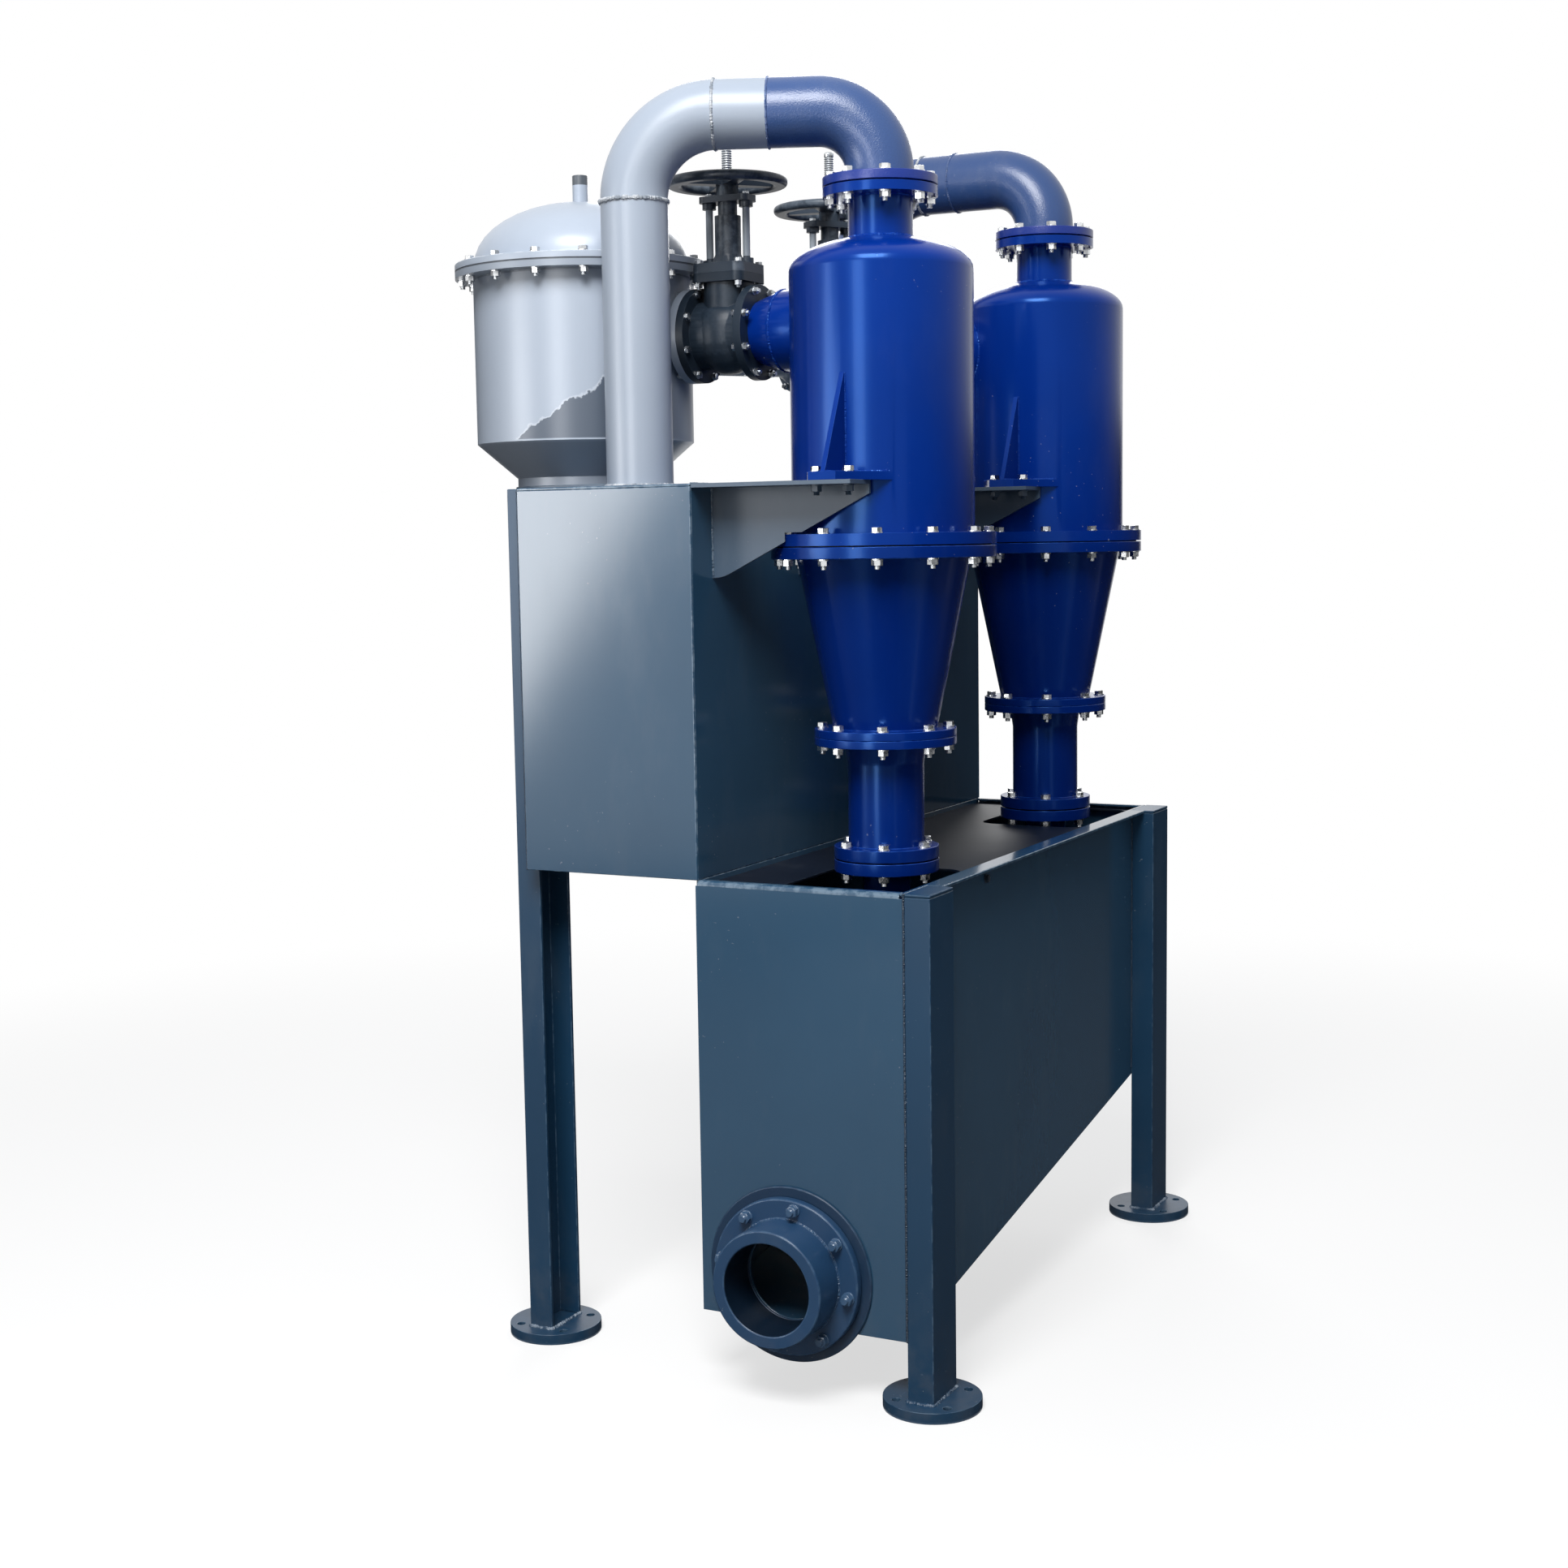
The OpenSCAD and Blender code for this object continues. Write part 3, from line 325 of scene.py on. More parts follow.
def grey_card(name, place, size, turn=0, upright=True, gloss_only=False, shade=DIM_GREY):
    """A card on the stage. Unless it is for gloss only, it holds light back too."""
    put_down()
    bpy.ops.mesh.primitive_grid_add(x_subdivisions=2, y_subdivisions=2, size=1, location=place,
        rotation=(math.radians(90 if upright else 0), 0, math.radians(turn)))
    card = bpy.context.object
    card.name = name
    card.scale = (size[0], size[1], 1)
    card.visible_camera = False
    card.visible_shadow = not gloss_only
    card.visible_diffuse = not gloss_only
    card_grey = Finish(name + "_grey", Base_Color=shade, Roughness=0.9)
    card.data.materials.append(card_grey.material)
    card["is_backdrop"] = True
    return card


def ground_card(name, centre, size, shade=DIM_GREY):
    """A card that lies just over the floor, for gloss only."""
    return grey_card(name, (*centre, CARD_LIFT), size, upright=False, gloss_only=True, shade=shade)


grey_card("front_card", (-3.6, -5.2, 0.22), (6.0, 0.44), -30, shade=MID_GREY)
grey_card("right_card", (6.5, -0.5, 1.4), (9.0, 2.8), 90)
grey_card("rear_card", (4.2, 6.6, 1.4), (8.0, 2.8), -31)
grey_card("left_card", (-6.5, 1.5, 1.9), (9.0, 3.8), -90)
grey_card("low_card", (1.9, -3.6, 0.55), (3.0, 1.1), 25, gloss_only=True)
ground_card("right_ground_card", (3.5, 3.6), (5.3, 9.2))
ground_card("front_ground_card", (-1.4, -3.6), (6.0, 4.6), MID_GREY)
ground_card("left_ground_card", (-3.1, 3.4), (7.9, 9.4))
ground_card("near_ground_card", (3.3, -3.6), (3.4, 4.6))
print("nine cards stand or lie round the machine")

# %% [markdown]
# ## Painted plate
# The tank, legs and brackets are steel plate sprayed in a satin slate blue. Up close the spray has an orange peel, the
# tone drifts from plate to plate, dust settles low down, and edges are lighter: partly rubbed wear, partly a painted
# highlight of the light that a rounded edge catches. All of that is one recipe with different colours, so the recipe is
# a function. The lighter edges need to know where the edges are, so the skin of each piece, which is made further down,
# carries an attribute named edge that is 1 on its rounded edges.

# %% The sprayed paint recipe
DUST = colour(128, 134, 138)
SOIL = colour(118, 112, 102)
BARE = colour(196, 200, 202)


def sprayed(name, coat, deep, rubbed, gloss, peel, dust, **even):
    """Sprayed paint: a cloudy coat, a dusty foot, edges of rubbed wear and painted highlight, pale nicks and an orange
    peel.
    """
    paint = Finish(name, **even)
    height = paint.split()[2]
    clouds = paint.step(paint.noise(1.7, 4, 0.55), 0.34, 0.68)
    smears = paint.step(paint.noise(7.0, 5, 0.62, (1.0, 1.0, 0.35)), 0.5, 0.74)
    edge = paint.node("ShaderNodeAttribute", {"attribute_name": "edge"}, out="Fac")
    # Lighter edges: rubbed wear, and a painted highlight of the light that a rounded edge catches.
    wear_and_highlight = edge * paint.step(paint.noise(38.0, 3, 0.6), 0.4, 0.62)
    nicks = paint.step(paint.noise(120.0, 1), 0.755, 0.775) * paint.step(paint.noise(3.1, 2), 0.52, 0.66)
    foot = (1 - paint.step(height, 0.02, 0.34)) * paint.step(paint.noise(16.0, 4, 0.6), 0.36, 0.7)
    tone = paint.mix(clouds * 0.55, coat, deep)
    tone = paint.mix(smears * dust, tone, DUST)
    tone = paint.mix(foot * 0.12, tone, SOIL)
    tone = paint.mix(wear_and_highlight * 0.55, tone, rubbed)
    tone = paint.mix(nicks * 0.25, tone, BARE)
    paint.feed("Base Color", tone)
    paint.feed("Roughness", gloss + smears * (0.6 * dust) + clouds * 0.02 + foot * 0.1)
    grain = paint.noise(260.0, 2, 0.5) + paint.noise(34.0, 2) * 0.6
    paint.rough_up(grain, peel, 0.0006)
    return paint


print("sprayed paint ready")

# %% [markdown]
# ## Slate blue
# Tanks, legs, brackets and spout share the slate, each a little lighter or darker, and the deck inside the tank is
# nearly black, as painted shade of the tank's inside. Two places need more: painted shade darkens the crevice down the
# front plate where it meets the leg, and painted shade darkens the bore of the spout. Both could be modelled, but they
# have no depth to speak of, so each is a mask that is worked out from the place on the piece. The pad round the spout's
# flange is darker as well, as a painted shadow.

# %% Plates with painted shade in a seam and in a bore
slate = {"coat": colour(46, 80, 107), "deep": colour(41, 73, 99), "rubbed": colour(122, 144, 162), "gloss": 0.13,
    "peel": 0.03, "dust": 0.04, "Specular_IOR_Level": 0.8}
SEAM_SHADE = 4 * MM


def seamed_plate():
    """The slate of the underflow tank's front plate, with painted shade in the crevice where it meets the leg."""
    paint = sprayed("seamed_plate", **slate)
    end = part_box("lower_front_wall")[1].x
    joint = paint.step(paint.split()[0], end - SEAM_SHADE, end - SEAM_SHADE + 1 * MM)
    # Painted shade: the crevice along the leg is darkened.
    paint.feed("Base Color", paint.mix(joint * 0.85, paint.fed("Base Color"), colour(8, 18, 30)))
    return paint


def shaded_bore():
    """The slate of the spout, with its bore darkened as painted shade."""
    paint = sprayed("slate_spout", colour(38, 70, 104), colour(30, 60, 92), colour(66, 94, 122), 0.30, 0.09, dust=0.06,
        Specular_IOR_Level=0.35)
    low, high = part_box("outlet_spout")
    middle = (low + high) / 2
    bore = min((Vector(v.co) - middle).xz.length for v in frame["nodes"]["outlet_spout"].data.vertices)
    east, _, height = paint.split()
    east = east - middle.x
    height = height - middle.z
    # Painted shade: the inside of the bore is darkened.
    bore_shade = 1 - paint.step(east * east + height * height, (bore + 0.5 * MM) ** 2, (bore + 2 * MM) ** 2)
    paint.feed("Base Color", paint.mix(bore_shade * 0.85, paint.fed("Base Color"), colour(6, 14, 24)))
    print("bore of the spout", round(2 * bore, 3))
    return paint


print("joint", SEAM_SHADE, "m wide")

# %% Mix the slates
finishes = {
    "frame_paint": sprayed("slate_frame", colour(29, 63, 91), colour(24, 55, 81), colour(80, 106, 128), 0.32, 0.10,
        dust=0.06, Specular_IOR_Level=0.35),
    "tank_paint": sprayed("slate_plate", **slate),
    "outlet_paint": shaded_bore(),
    "bracket_paint": sprayed("slate_bracket", colour(66, 84, 103), colour(54, 72, 90), colour(110, 126, 140), 0.36,
        0.09, dust=0.12),
}
# Nearly black: painted shade of the inside of the tank.
shaded_deck = sprayed("slate_deck", colour(12, 21, 36), colour(8, 14, 25), colour(52, 66, 80), 0.5, 0.12, dust=0.04,
    Specular_IOR_Level=0.12)
# A darker pad: painted shadow round the spout's flange.
shaded_pad = sprayed("shaded_pad", colour(26, 52, 79), colour(20, 44, 69), colour(48, 76, 102), 0.34, 0.09, dust=0.06,
    Specular_IOR_Level=0.3)
print("slate finishes:", sorted(finishes))

# %% [markdown]
# ## Blue, grey and dusty blue paint
# The cyclones are royal blue gloss, and painted shade makes their cones and all below a little deeper. The front
# gooseneck has a dusty blue upper elbow and a light grey riser, and the rear one is dusty blue all through. The vessel
# has the same grey with a ragged darker patch that is a painted reflection, painted shade on its cone and on the flange
# under its lid, and a dark joint under its lid. Each coat could be a thin piece of its own, but paint has no thickness
# that shows, so they all use the same recipe, and what differs from place to place is masked in by height or by
# distance.

# %% Royal blue and dusty blue
BLUE_GLINT = (0.13, 0.4, 1.0, 1.0)
royal_gloss = {"gloss": 0.22, "peel": 0.05, "dust": 0.02, "Specular_Tint": BLUE_GLINT, "Coat_Weight": 0.03,
    "Coat_Roughness": 0.08}
royal = {"coat": colour(3, 42, 129), "deep": colour(2, 34, 110), "rubbed": colour(36, 78, 166)}
# A deeper royal for the cones, spigots and apexes: painted shade.
shaded_royal = {"coat": colour(2, 36, 114), "deep": colour(1, 28, 98), "rubbed": colour(30, 70, 154)}
finishes["cyclone_paint"] = sprayed("royal_gloss", **royal, **royal_gloss)
shaded_blue = sprayed("shaded_blue", **shaded_royal, **royal_gloss)
dusty = {"coat": colour(43, 71, 121), "deep": colour(54, 80, 127), "rubbed": colour(120, 138, 176), "gloss": 0.27,
    "peel": 0.9, "dust": 0.1}
dusty_blue = sprayed("dusty_blue", **dusty)
TOP_FLANGE = 23 * MM


def two_blues():
    """The gooseneck's dusty blue, with its flange in the blue of the cyclones."""
    paint = sprayed("two_blues", **dusty)
    flange_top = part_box("front_overflow_elbow")[0].z + TOP_FLANGE
    flange = 1 - paint.step(paint.split()[2], flange_top + 1 * MM, flange_top + 3 * MM)
    paint.feed("Base Color", paint.mix(flange, paint.fed("Base Color"), royal["coat"]))
    return paint


finishes["elbow_paint"] = two_blues()
print("blues:", [finish.material.name for finish in (finishes["cyclone_paint"], shaded_blue, dusty_blue)])

# %% Grey, with a painted reflection and painted shade below
PATCH_SLOPE = 0.62
PATCH_RISE = 0.155
PATCH_END = 160 * MM
PATCH_FADE = 300 * MM
SHOULDER = 113 * MM
CAP = 26 * MM
RIM_DEPTH = 24 * MM
finishes["pipe_paint"] = sprayed("light_grey", colour(154, 164, 178), colour(146, 156, 170), colour(206, 211, 218),
    0.34, 0.08, dust=0.08)


def grey_with_painted_reflection():
    """The vessel's grey, with a painted reflection below a ragged line that climbs to the right, and painted shade on
    the cone.
    """
    paint = sprayed("vessel_grey", colour(164, 174, 188), colour(155, 165, 179), colour(206, 211, 218), 0.32, 0.06,
        dust=0.06)
    east, north, height = paint.split()
    rightward = Vector((math.cos(math.radians(CAMERA_TURN)), math.sin(math.radians(CAMERA_TURN))))
    shell_low, shell_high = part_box("vessel_shell")
    across = ((shell_low + shell_high) / 2).xy.dot(rightward)
    along = east * rightward.x + north * rightward.y - across
    ragged = paint.noise(9.0, 5, 0.62) * 0.11 + paint.noise(42.0, 2) * 0.02
    depth = along * PATCH_SLOPE + (shell_low.z + PATCH_RISE) + ragged - height
    shoulder = shell_low.z + SHOULDER
    wall = paint.step(height, shoulder + 2 * MM, shoulder + 6 * MM) * (1 - paint.step(along, PATCH_END, PATCH_FADE))
    # The pale rim of the painted reflection, along its ragged line.
    reflection_rim = paint.step(depth, -5 * MM, 0.0) * (1 - paint.step(depth, 2 * MM, 6 * MM)) * wall
    # Painted reflection: darker below the ragged line.
    painted_reflection = paint.step(depth, 0.0, 6 * MM) * wall
    # Painted shade: the cone below the shoulder is darker.
    cone = 1 - paint.step(height, shoulder - 8 * MM, shoulder)
    # Painted shade on the shell's flange under the lid.
    lower_rim_shade = paint.step(height, shell_high.z - RIM_DEPTH, shell_high.z - RIM_DEPTH + 1 * MM)
    lower_rim_shade = lower_rim_shade * (1 - paint.step(height, shell_high.z - 1 * MM, shell_high.z))
    lid_joint = paint.step(height, shell_high.z - 3 * MM, shell_high.z - 2 * MM)
    lid_joint = lid_joint * (1 - paint.step(height, shell_high.z + 2 * MM, shell_high.z + 3 * MM))
    cap_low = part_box("vessel_lid")[1].z - CAP
    cap = paint.step(height, cap_low, cap_low + 1 * MM)
    tone = paint.fed("Base Color")
    tone = paint.mix(painted_reflection * 0.9, tone, colour(64, 75, 90))
    tone = paint.mix(cone * 0.7, tone, colour(132, 141, 154))
    tone = paint.mix(reflection_rim * 0.5, tone, colour(206, 212, 220))
    tone = paint.mix(lid_joint * 0.8, tone, colour(34, 40, 48))
    tone = paint.mix(lower_rim_shade * 0.35, tone, colour(64, 72, 82))
    paint.feed("Base Color", paint.mix(cap * 0.9, tone, colour(62, 68, 74)))
    return paint


finishes["vessel_paint"] = grey_with_painted_reflection()
print("paints:", len(finishes))

# %% [markdown]
# ## Iron, rubber and bright metal
# The valves are cast iron under a thin charcoal paint, so their bump is coarser, and the bodies are darker than the
# rest. The yoke's two pillar rods are bright. They could be pieces of their own, but they are one solid with the yoke in
# the CAD, so they are masked in by their distance from the stem. Gaskets are black rubber. Stems are turned steel and
# bolts are zinc plated: both are metal, so their look comes from roughness and not from colour.

# %% Cast iron
COLUMN_ROUND = 42 * MM
ROD_LOW = 42 * MM
ROD_HIGH = 32 * MM
iron = {"coat": colour(50, 60, 72), "deep": colour(40, 49, 60), "rubbed": colour(96, 106, 117), "gloss": 0.36,
    "peel": 0.2, "dust": 0.03, "Specular_IOR_Level": 0.3}
finishes["valve_iron"] = sprayed("charcoal_iron", **iron)
dark_iron = sprayed("dark_iron", colour(32, 43, 55), colour(25, 35, 46), colour(42, 53, 65), 0.4, 0.2, dust=0.03,
    Specular_IOR_Level=0.25)


def yoke_iron(side):
    """The same iron, with the two pillar rods beside the column left in bright steel."""
    paint = sprayed(side + "yoke_iron", **iron)
    stem_low, stem_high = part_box(side + "valve_stem")
    east, north, height = paint.split()
    east = east - (stem_low.x + stem_high.x) / 2
    north = north - (stem_low.y + stem_high.y) / 2
    beside = paint.step(east * east + north * north, COLUMN_ROUND ** 2, (COLUMN_ROUND + 1 * MM) ** 2)
    low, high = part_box(side + "valve_yoke")
    above = paint.step(height, low.z + ROD_LOW, low.z + ROD_LOW + 2 * MM)
    below = 1 - paint.step(height, high.z - ROD_HIGH, high.z - ROD_HIGH + 2 * MM)
    paint.feed("Base Color", paint.mix(beside * above * below, paint.fed("Base Color"), colour(158, 166, 174)))
    return paint


yoke_finishes = {side + "valve_yoke": yoke_iron(side) for side in ("front_", "rear_")}
print("yokes painted:", sorted(yoke_finishes))

# %% Rubber, turned steel and zinc
rubber = Finish("gasket_black", Specular_IOR_Level=0.3)
chalk = rubber.step(rubber.noise(26.0, 4, 0.6), 0.45, 0.75)
rubber.feed("Base Color", rubber.mix(chalk * 0.4, colour(20, 21, 23), colour(48, 50, 54)))
rubber.feed("Roughness", 0.62 + chalk * 0.2)
rubber.rough_up(rubber.noise(420.0, 2), 0.2, 0.0004)
finishes["gasket_rubber"] = rubber


def bare_metal(name, bright, dull, gloss):
    """Bare metal with fine turning marks, dull patches and a little dark grease."""
    metal = Finish(name, Metallic=1.0)
    dulled = metal.step(metal.noise(55.0, 4, 0.6), 0.4, 0.72)
    grease = metal.step(metal.noise(21.0, 3, 0.5), 0.6, 0.78)
    tone = metal.mix(dulled * 0.6, bright, dull)
    metal.feed("Base Color", metal.mix(grease * 0.5, tone, colour(92, 88, 80)))
    metal.feed("Roughness", gloss + dulled * 0.2 + grease * 0.1)
    metal.rough_up(metal.noise(900.0, 1), 0.08, 0.0002)
    return metal


finishes["stem_steel"] = bare_metal("turned_steel", colour(196, 200, 204), colour(150, 154, 158), 0.26)
zinc = bare_metal("zinc_plate", colour(222, 224, 226), colour(170, 172, 172), 0.22)
print("finishes:", len(finishes) + 1)

# %% [markdown]
# ## Skins with rounded edges
# A CAD solid has perfectly sharp edges, which no sprayed plate or casting has, and a sharp edge catches no light. The
# edges could be rounded in the CAD, but that is slow and adds nothing to how the parts fit. So each node gets a skin: a
# copy of its mesh, merged, freed of flat triangle edges and bevelled. The skin stands for the node.

# %% Where each node belongs, and how many millimetres its edges are rounded by
SLOT_OF = {part["node"]: part["material_slot"] for part in frame["record"]["subparts"]}
BODY_OF = {node: body for body, nodes in frame["record"]["behaviour"]["bodies"].items() for node in nodes}
ROUNDING = {"frame_paint": 2.5, "tank_paint": 2.4, "outlet_paint": 5.0, "bracket_paint": 1.6, "cyclone_paint": 2.0,
    "elbow_paint": 2.0, "pipe_paint": 2.0, "vessel_paint": 2.0, "valve_iron": 3.0, "gasket_rubber": 0.8}
repainted = {"lower_deck": shaded_deck, "lower_front_wall": seamed_plate(), "outlet_pad": shaded_pad,
    "rear_overflow_riser": dusty_blue, **yoke_finishes}
for side in ("front_", "rear_"):
    repainted.update({side + "valve_body": dark_iron, side + "cyclone_cone": shaded_blue, side + "spigot": shaded_blue,
        side + "apex": shaded_blue})
print(len(SLOT_OF), "nodes, of which", len(repainted), "have a paint of their own")

# %% Hold one piece, and mark its rounded edges
NARROW = 0.9


def take(piece):
    """Makes one piece the only selected and the active one."""
    put_down()
    piece.select_set(True)
    bpy.context.view_layer.objects.active = piece


def apply_all(piece):
    take(piece)
    for modifier in [m.name for m in piece.modifiers]:
        bpy.ops.object.modifier_apply(modifier=modifier)


def mark_edges(piece, width):
    """Writes the attribute that the paint reads: 1 on the narrow faces of the rounded edges, 0 elsewhere."""
    mesh = piece.data
    marks = mesh.attributes.new("edge", "FLOAT", "CORNER")
    values = np.zeros(len(mesh.loops), np.float32)
    for face in mesh.polygons:
        around = sum((mesh.vertices[a].co - mesh.vertices[b].co).length for a, b in face.edge_keys)
        if 2 * face.area < NARROW * width * around:
            values[list(face.loop_indices)] = 1.0
    marks.data.foreach_set("value", values)


print("edge marks ready")

# %% Make the skins
SAME_POINT = 0.02 * MM
FLAT = math.radians(0.4)
SHARP = math.radians(38)
SMOOTH = math.radians(42)


def skin(node, width):
    """A copy of a node's mesh with its edges rounded by so many metres, which then stands for the node."""
    piece = bpy.data.objects.new(node + "_skin", frame["nodes"][node].data.copy())
    bpy.context.scene.collection.objects.link(piece)
    take(piece)
    bpy.ops.object.mode_set(mode="EDIT")
    bpy.ops.mesh.select_all(action="SELECT")
    bpy.ops.mesh.remove_doubles(threshold=SAME_POINT)
    bpy.ops.mesh.dissolve_limited(angle_limit=FLAT)
    bpy.ops.object.mode_set(mode="OBJECT")
    bpy.ops.object.shade_smooth()
    rounding = piece.modifiers.new("rounding", "BEVEL")
    rounding.width = width
    rounding.segments = 2
    rounding.limit_method = "ANGLE"
    rounding.angle_limit = SHARP
    rounding.use_clamp_overlap = True
    apply_all(piece)
    bpy.ops.object.shade_smooth_by_angle(angle=SMOOTH)
    level = piece.modifiers.new("level", "WEIGHTED_NORMAL")
    level.keep_sharp = True
    apply_all(piece)
    mark_edges(piece, width)
    piece.data.materials.clear()
    piece.data.materials.append(repainted.get(node, finishes[SLOT_OF[node]]).material)
    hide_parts(node)
    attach(piece, BODY_OF[node])
    return piece


skins = {}
for node, slot in SLOT_OF.items():
    if slot in ROUNDING:
        skins[node] = skin(node, ROUNDING[slot] * MM)
    else:
        frame["nodes"][node].data.materials.clear()
        frame["nodes"][node].data.materials.append(finishes[slot].material)
print("skins:", len(skins), "with", sum(len(s.data.polygons) for s in skins.values()), "faces")

# %% [markdown]
# ## Bolts and nuts
# Every flange is held by zinc plated hexagon bolts: a washer and a head on top, a washer, a nut and a thread end
# below. One head and one nut are modelled by hand, from a prism whose top face is inset and raised into the chamfer
# that real heads have. The thread end is extruded in steps, each drawn in or let out again.

# %% Model one bolt head and one nut
ACROSS = 24 * MM
HEAD = 10 * MM
NUT = 13 * MM
THREAD = 16 * MM
WASHER = 3 * MM
WASHER_ROUND = 15 * MM
CHAMFER = 1.8 * MM
THREAD_WAIST = 0.85


def pick(piece, test):
    """In edit mode, selects just the faces whose middle and normal pass the test."""
    bpy.ops.mesh.select_mode(type="FACE")
    bpy.ops.mesh.select_all(action="DESELECT")
    mesh = bmesh.from_edit_mesh(piece.data)
    mesh.normal_update()
    for face in mesh.faces:
        face.select_set(test(face.calc_center_median(), face.normal))
    bmesh.update_edit_mesh(piece.data)


def prism(radius, low, height, sides, chamfer):
    """A short upright prism on the Z axis, with a chamfered top. It is left in edit mode with its top selected."""
    put_down()
    bpy.ops.mesh.primitive_cylinder_add(vertices=sides, radius=radius, depth=height, location=(0, 0, low + height / 2))
    piece = bpy.context.object
    bpy.ops.object.transform_apply(location=True, rotation=True, scale=True)
    bpy.ops.object.mode_set(mode="EDIT")
    pick(piece, lambda middle, normal: normal.z > 0.9)
    bpy.ops.mesh.inset(thickness=chamfer)
    bpy.ops.transform.translate(value=(0, 0, chamfer / 2))
    return piece


def grooves(count, step, waist):
    """Extrudes the selected top face upwards in steps that are drawn in and let out again."""
    for _ in range(count):
        for share in (waist, 1 / waist):
            bpy.ops.mesh.extrude_region_move(TRANSFORM_OT_translate={"value": (0, 0, step)})
            bpy.ops.transform.resize(value=(share, share, 1), center_override=(0, 0, 0))


def join(name, pieces):
    """Joins pieces into the first one."""
    put_down()
    for piece in pieces:
        piece.select_set(True)
    bpy.context.view_layer.objects.active = pieces[0]
    bpy.ops.object.join()
    pieces[0].name = name
    return pieces[0]


def washer():
    return prism(WASHER_ROUND, 0, WASHER, 18, 0.5 * MM)


def thread_end(low):
    piece = prism(THREAD / 2, low, 1 * MM, 10, 0.4 * MM)
    grooves(4, 1 * MM, THREAD_WAIST)
    return piece


def hexagon(height):
    return prism(ACROSS / math.sqrt(3), WASHER, height, 6, CHAMFER)


bolt_head = join("bolt_head", [washer(), hexagon(HEAD)])
nut_end = join("nut_end", [washer(), hexagon(NUT), thread_end(WASHER + NUT)])
print("bolt head", len(bolt_head.data.polygons), "faces, nut", len(nut_end.data.polygons), "faces")

# %% [markdown]
# ## Many copies in one piece
# There are nearly three hundred bolt heads and nuts, and thousands of weld ripples. As objects of their own they would
# be slow to handle, so a small part is copied to all its places in one mesh, which is one piece with one finish.

# %% Copy a small part to many places
def stand(point, axis, turn=0.0, size=1.0):
    """The place of a small part whose foot is at a point and whose top looks along an axis."""
    turned = Vector(axis).to_track_quat("Z", "Y").to_matrix().to_4x4()
    return Matrix.Translation(point) @ turned @ Matrix.Rotation(turn, 4, "Z") @ Matrix.Scale(size, 4)


def scatter(name, pattern, places, finish, body="root"):
    """Joins a copy of the pattern at each place into one piece with a mesh of its own."""
    points = np.array([vertex.co[:] + (1.0,) for vertex in pattern.data.vertices])
    faces = [tuple(face.vertices) for face in pattern.data.polygons]
    spots = np.concatenate([points @ np.array(place).T for place in places])
    mesh = bpy.data.meshes.new(name)
    mesh.from_pydata(spots[:, :3].tolist(), [],
        [tuple(corner + copy * len(points) for corner in face) for copy in range(len(places)) for face in faces])
    piece = bpy.data.objects.new(name, mesh)
    bpy.context.scene.collection.objects.link(piece)
    take(piece)
    bpy.ops.object.shade_smooth_by_angle(angle=math.radians(29))
    mesh.materials.append(finish.material)
    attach(piece, body)
    return piece


def circle(middle, axis, radius, count, first=0.0):
    """Points on a circle. Their angle counts from the front on an upright axis, and from the top on a level one."""
    axis = Vector(axis)
    start = Vector((0, -1, 0)) if abs(axis.z) > 0.5 else Vector((0, 0, 1))
    side = Vector((1, 0, 0)) if abs(axis.z) > 0.5 else axis.cross(start)
    angles = [math.radians(first + 360 * n / count) for n in range(count)]
    return [Vector(middle) + radius * (math.cos(a) * start + math.sin(a) * side) for a in angles]


chance = random.Random(11)
UP = Vector((0, 0, 1))
DOWN = Vector((0, 0, -1))
print("scatter ready")

# %% [markdown]
# ## Flange bolts
# A bolt circle lies a fixed step inside the flange rim. The rim, its top and its underside are read off the frame, so
# the heads sit on the upper flange and the nuts under the lower one. Nobody lines hexagons up when tightening them, so
# each is turned by chance, with a fixed seed.

# %% Measure a rim
RIM_STEP = 20 * MM
TOP_RIM = 142 * MM
RIM_REACH = 50 * MM


def rim_radius(node):
    low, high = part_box(node)
    return (high.y - low.y) / 2


def middle(node):
    low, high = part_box(node)
    return Vector(((low.x + high.x) / 2, (low.y + high.y) / 2))


def rim_heights(node, axis, radius, joint):
    """The lowest and highest points of a node on a circle round an upright axis, near the height of a joint."""
    heights = [v.co.z for v in frame["nodes"][node].data.vertices
        if abs((v.co.xy - axis).length - radius) < 0.5 * MM and abs(v.co.z - joint) < RIM_REACH]
    return min(heights), max(heights)


print("main flange radius", round(rim_radius("front_cyclone_cone"), 3))

# %% Bolt the cyclone flanges and the vessel lid
# Each circle has so many bolts, and its first one so many degrees from the front.
MAIN_BOLTS, MAIN_FIRST = 12, 21
CONE_BOLTS, CONE_FIRST = 8, 22
APEX_BOLTS, APEX_FIRST = 6, 21
TOP_BOLTS, TOP_FIRST = 8, 30
LID_BOLTS, LID_FIRST = 16, 10.2
LID_SIZE = 0.9


def any_turn():
    return chance.uniform(0, math.pi / 3)


def bolt_up(name, axis, upper, lower, rim, count, first, size=1.0):
    """Heads on the upper flange and nuts under the lower one, on one bolt circle."""
    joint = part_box(lower)[1].z
    top = rim_heights(upper, axis, rim, joint)[1]
    under = rim_heights(lower, axis, rim, joint)[0]
    heads = circle((axis.x, axis.y, top), UP, rim - RIM_STEP, count, first)
    nuts = circle((axis.x, axis.y, under), UP, rim - RIM_STEP, count, first)
    scatter(name + "_heads", bolt_head, [stand(p, UP, any_turn(), size) for p in heads], zinc)
    scatter(name + "_nuts", nut_end, [stand(p, DOWN, any_turn(), size) for p in nuts], zinc)


